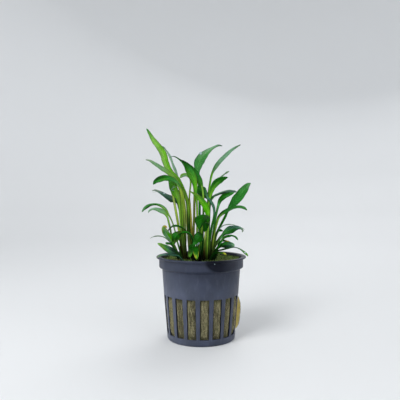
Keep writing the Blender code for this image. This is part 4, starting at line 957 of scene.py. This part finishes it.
def make_stage():
    """A pale floor that sweeps up all round into a wall, soft lights, and the camera."""
    radius = np.array([0.001, 0.2, 0.42, 0.6, 0.72, 0.79, 0.82, 0.83, 0.83])[:, None]
    height = np.array([0, 0, 0, 0.012, 0.06, 0.14, 0.26, 0.45, 1.1])[:, None]
    columns = 96
    points = around(np.arange(columns) * math.tau / columns, radius, height).reshape(-1, 3)
    mesh = bpy.data.meshes.new("studio_floor")
    mesh.from_pydata(points.tolist(), [], grid_faces(len(radius), columns).tolist())
    mesh.shade_smooth()
    # Matt paper, which gives soft shadows and no highlights
    paper, put = new_material("studio_paper")
    put("OutputMaterial", {0: put("BsdfPrincipled", {"Base Color": "#E2E4E6", "Roughness": 0.9})[0]})
    mesh.materials.append(paper)
    show("studio_floor", mesh)

    world = bpy.data.worlds.new("studio")
    bpy.context.scene.world = world
    world.use_nodes = True
    sky = world.node_tree.nodes["Background"].inputs
    sky["Color"].default_value = (*linear("#FFFFFF"), 1)
    sky["Strength"].default_value = 0.27
    lights = [
        ("key_light", (-0.4, -0.5, 0.6), 0.35, 4.5),
        ("fill_light", (0.5, -0.45, 0.3), 0.5, 0.8),
        ("back_light", (0.2, 0.5, 0.6), 0.5, 2.0),
    ]
    for name, place, size, power in lights:
        light = bpy.data.lights.new(name, "AREA")
        light.size = size
        light.energy = power
        lamp = show(name, light)
        lamp.location = place
        lamp.rotation_euler = (Vector((0, 0, 0.06)) - lamp.location).to_track_quat("-Z", "Y").to_euler()

    camera = bpy.data.cameras.new("camera")
    camera.sensor_width = 36
    camera.lens = 36 * FOCAL_PIXELS / PICTURE_SIDE
    camera.clip_start = 0.01
    camera.clip_end = 20
    eye = show("camera", camera)
    eye.location = EYE * MM
    eye.rotation_euler = (math.pi / 2, 0, 0)
    bpy.context.scene.camera = eye
    bpy.context.scene.view_settings.view_transform = "Standard"


def main():
    """The stage first, then the leaves, the pot, the wool and what grows, lies and dries on them."""
    make_stage()
    grown = make_leaves()
    grown["pot_shell"] = make_pot(plastic_material())
    make_wool(wool_material())
    # Bare fibre is straw grey, living moss dark to light green, dried stems dull brown, dried tips pale
    make_wool_fibres(strand_material("bare_mineral_fibre", "#827C58", "#B8B08A", 1.0, 0.6))
    living = strand_material("living_moss", "#1C2C12", "#93B552", 2.2, 0.7)
    dried = strand_material("dried_stems", "#4E4A26", "#8A8450", 1.0, 0.75)
    cushions = [(12, 12, 6), (16, 4, 4), (16, -2, 4), (0, 16, 7), (-14, 8, 5), (8, -14, 6), (-10, -14, 6),
                (0, 0, 9)]
    make_moss("moss", 2200, cushions, 1.8, (0.9, 2.6), (0.09, 0.19), living)
    wisps = [(-15, -5, 1.6), (-13, -8, 1.6), (14, -6, 2)]
    make_moss("dry_moss", 160, wisps, 3.2, (1.0, 2.6), (0.1, 0.2), dried)
    make_split_tips(grown, strand_material("dried_leaf_tissue", "#78886F", "#A9B7A4", 1.0, 0.6))
    make_drops(grown, water_material())


main()
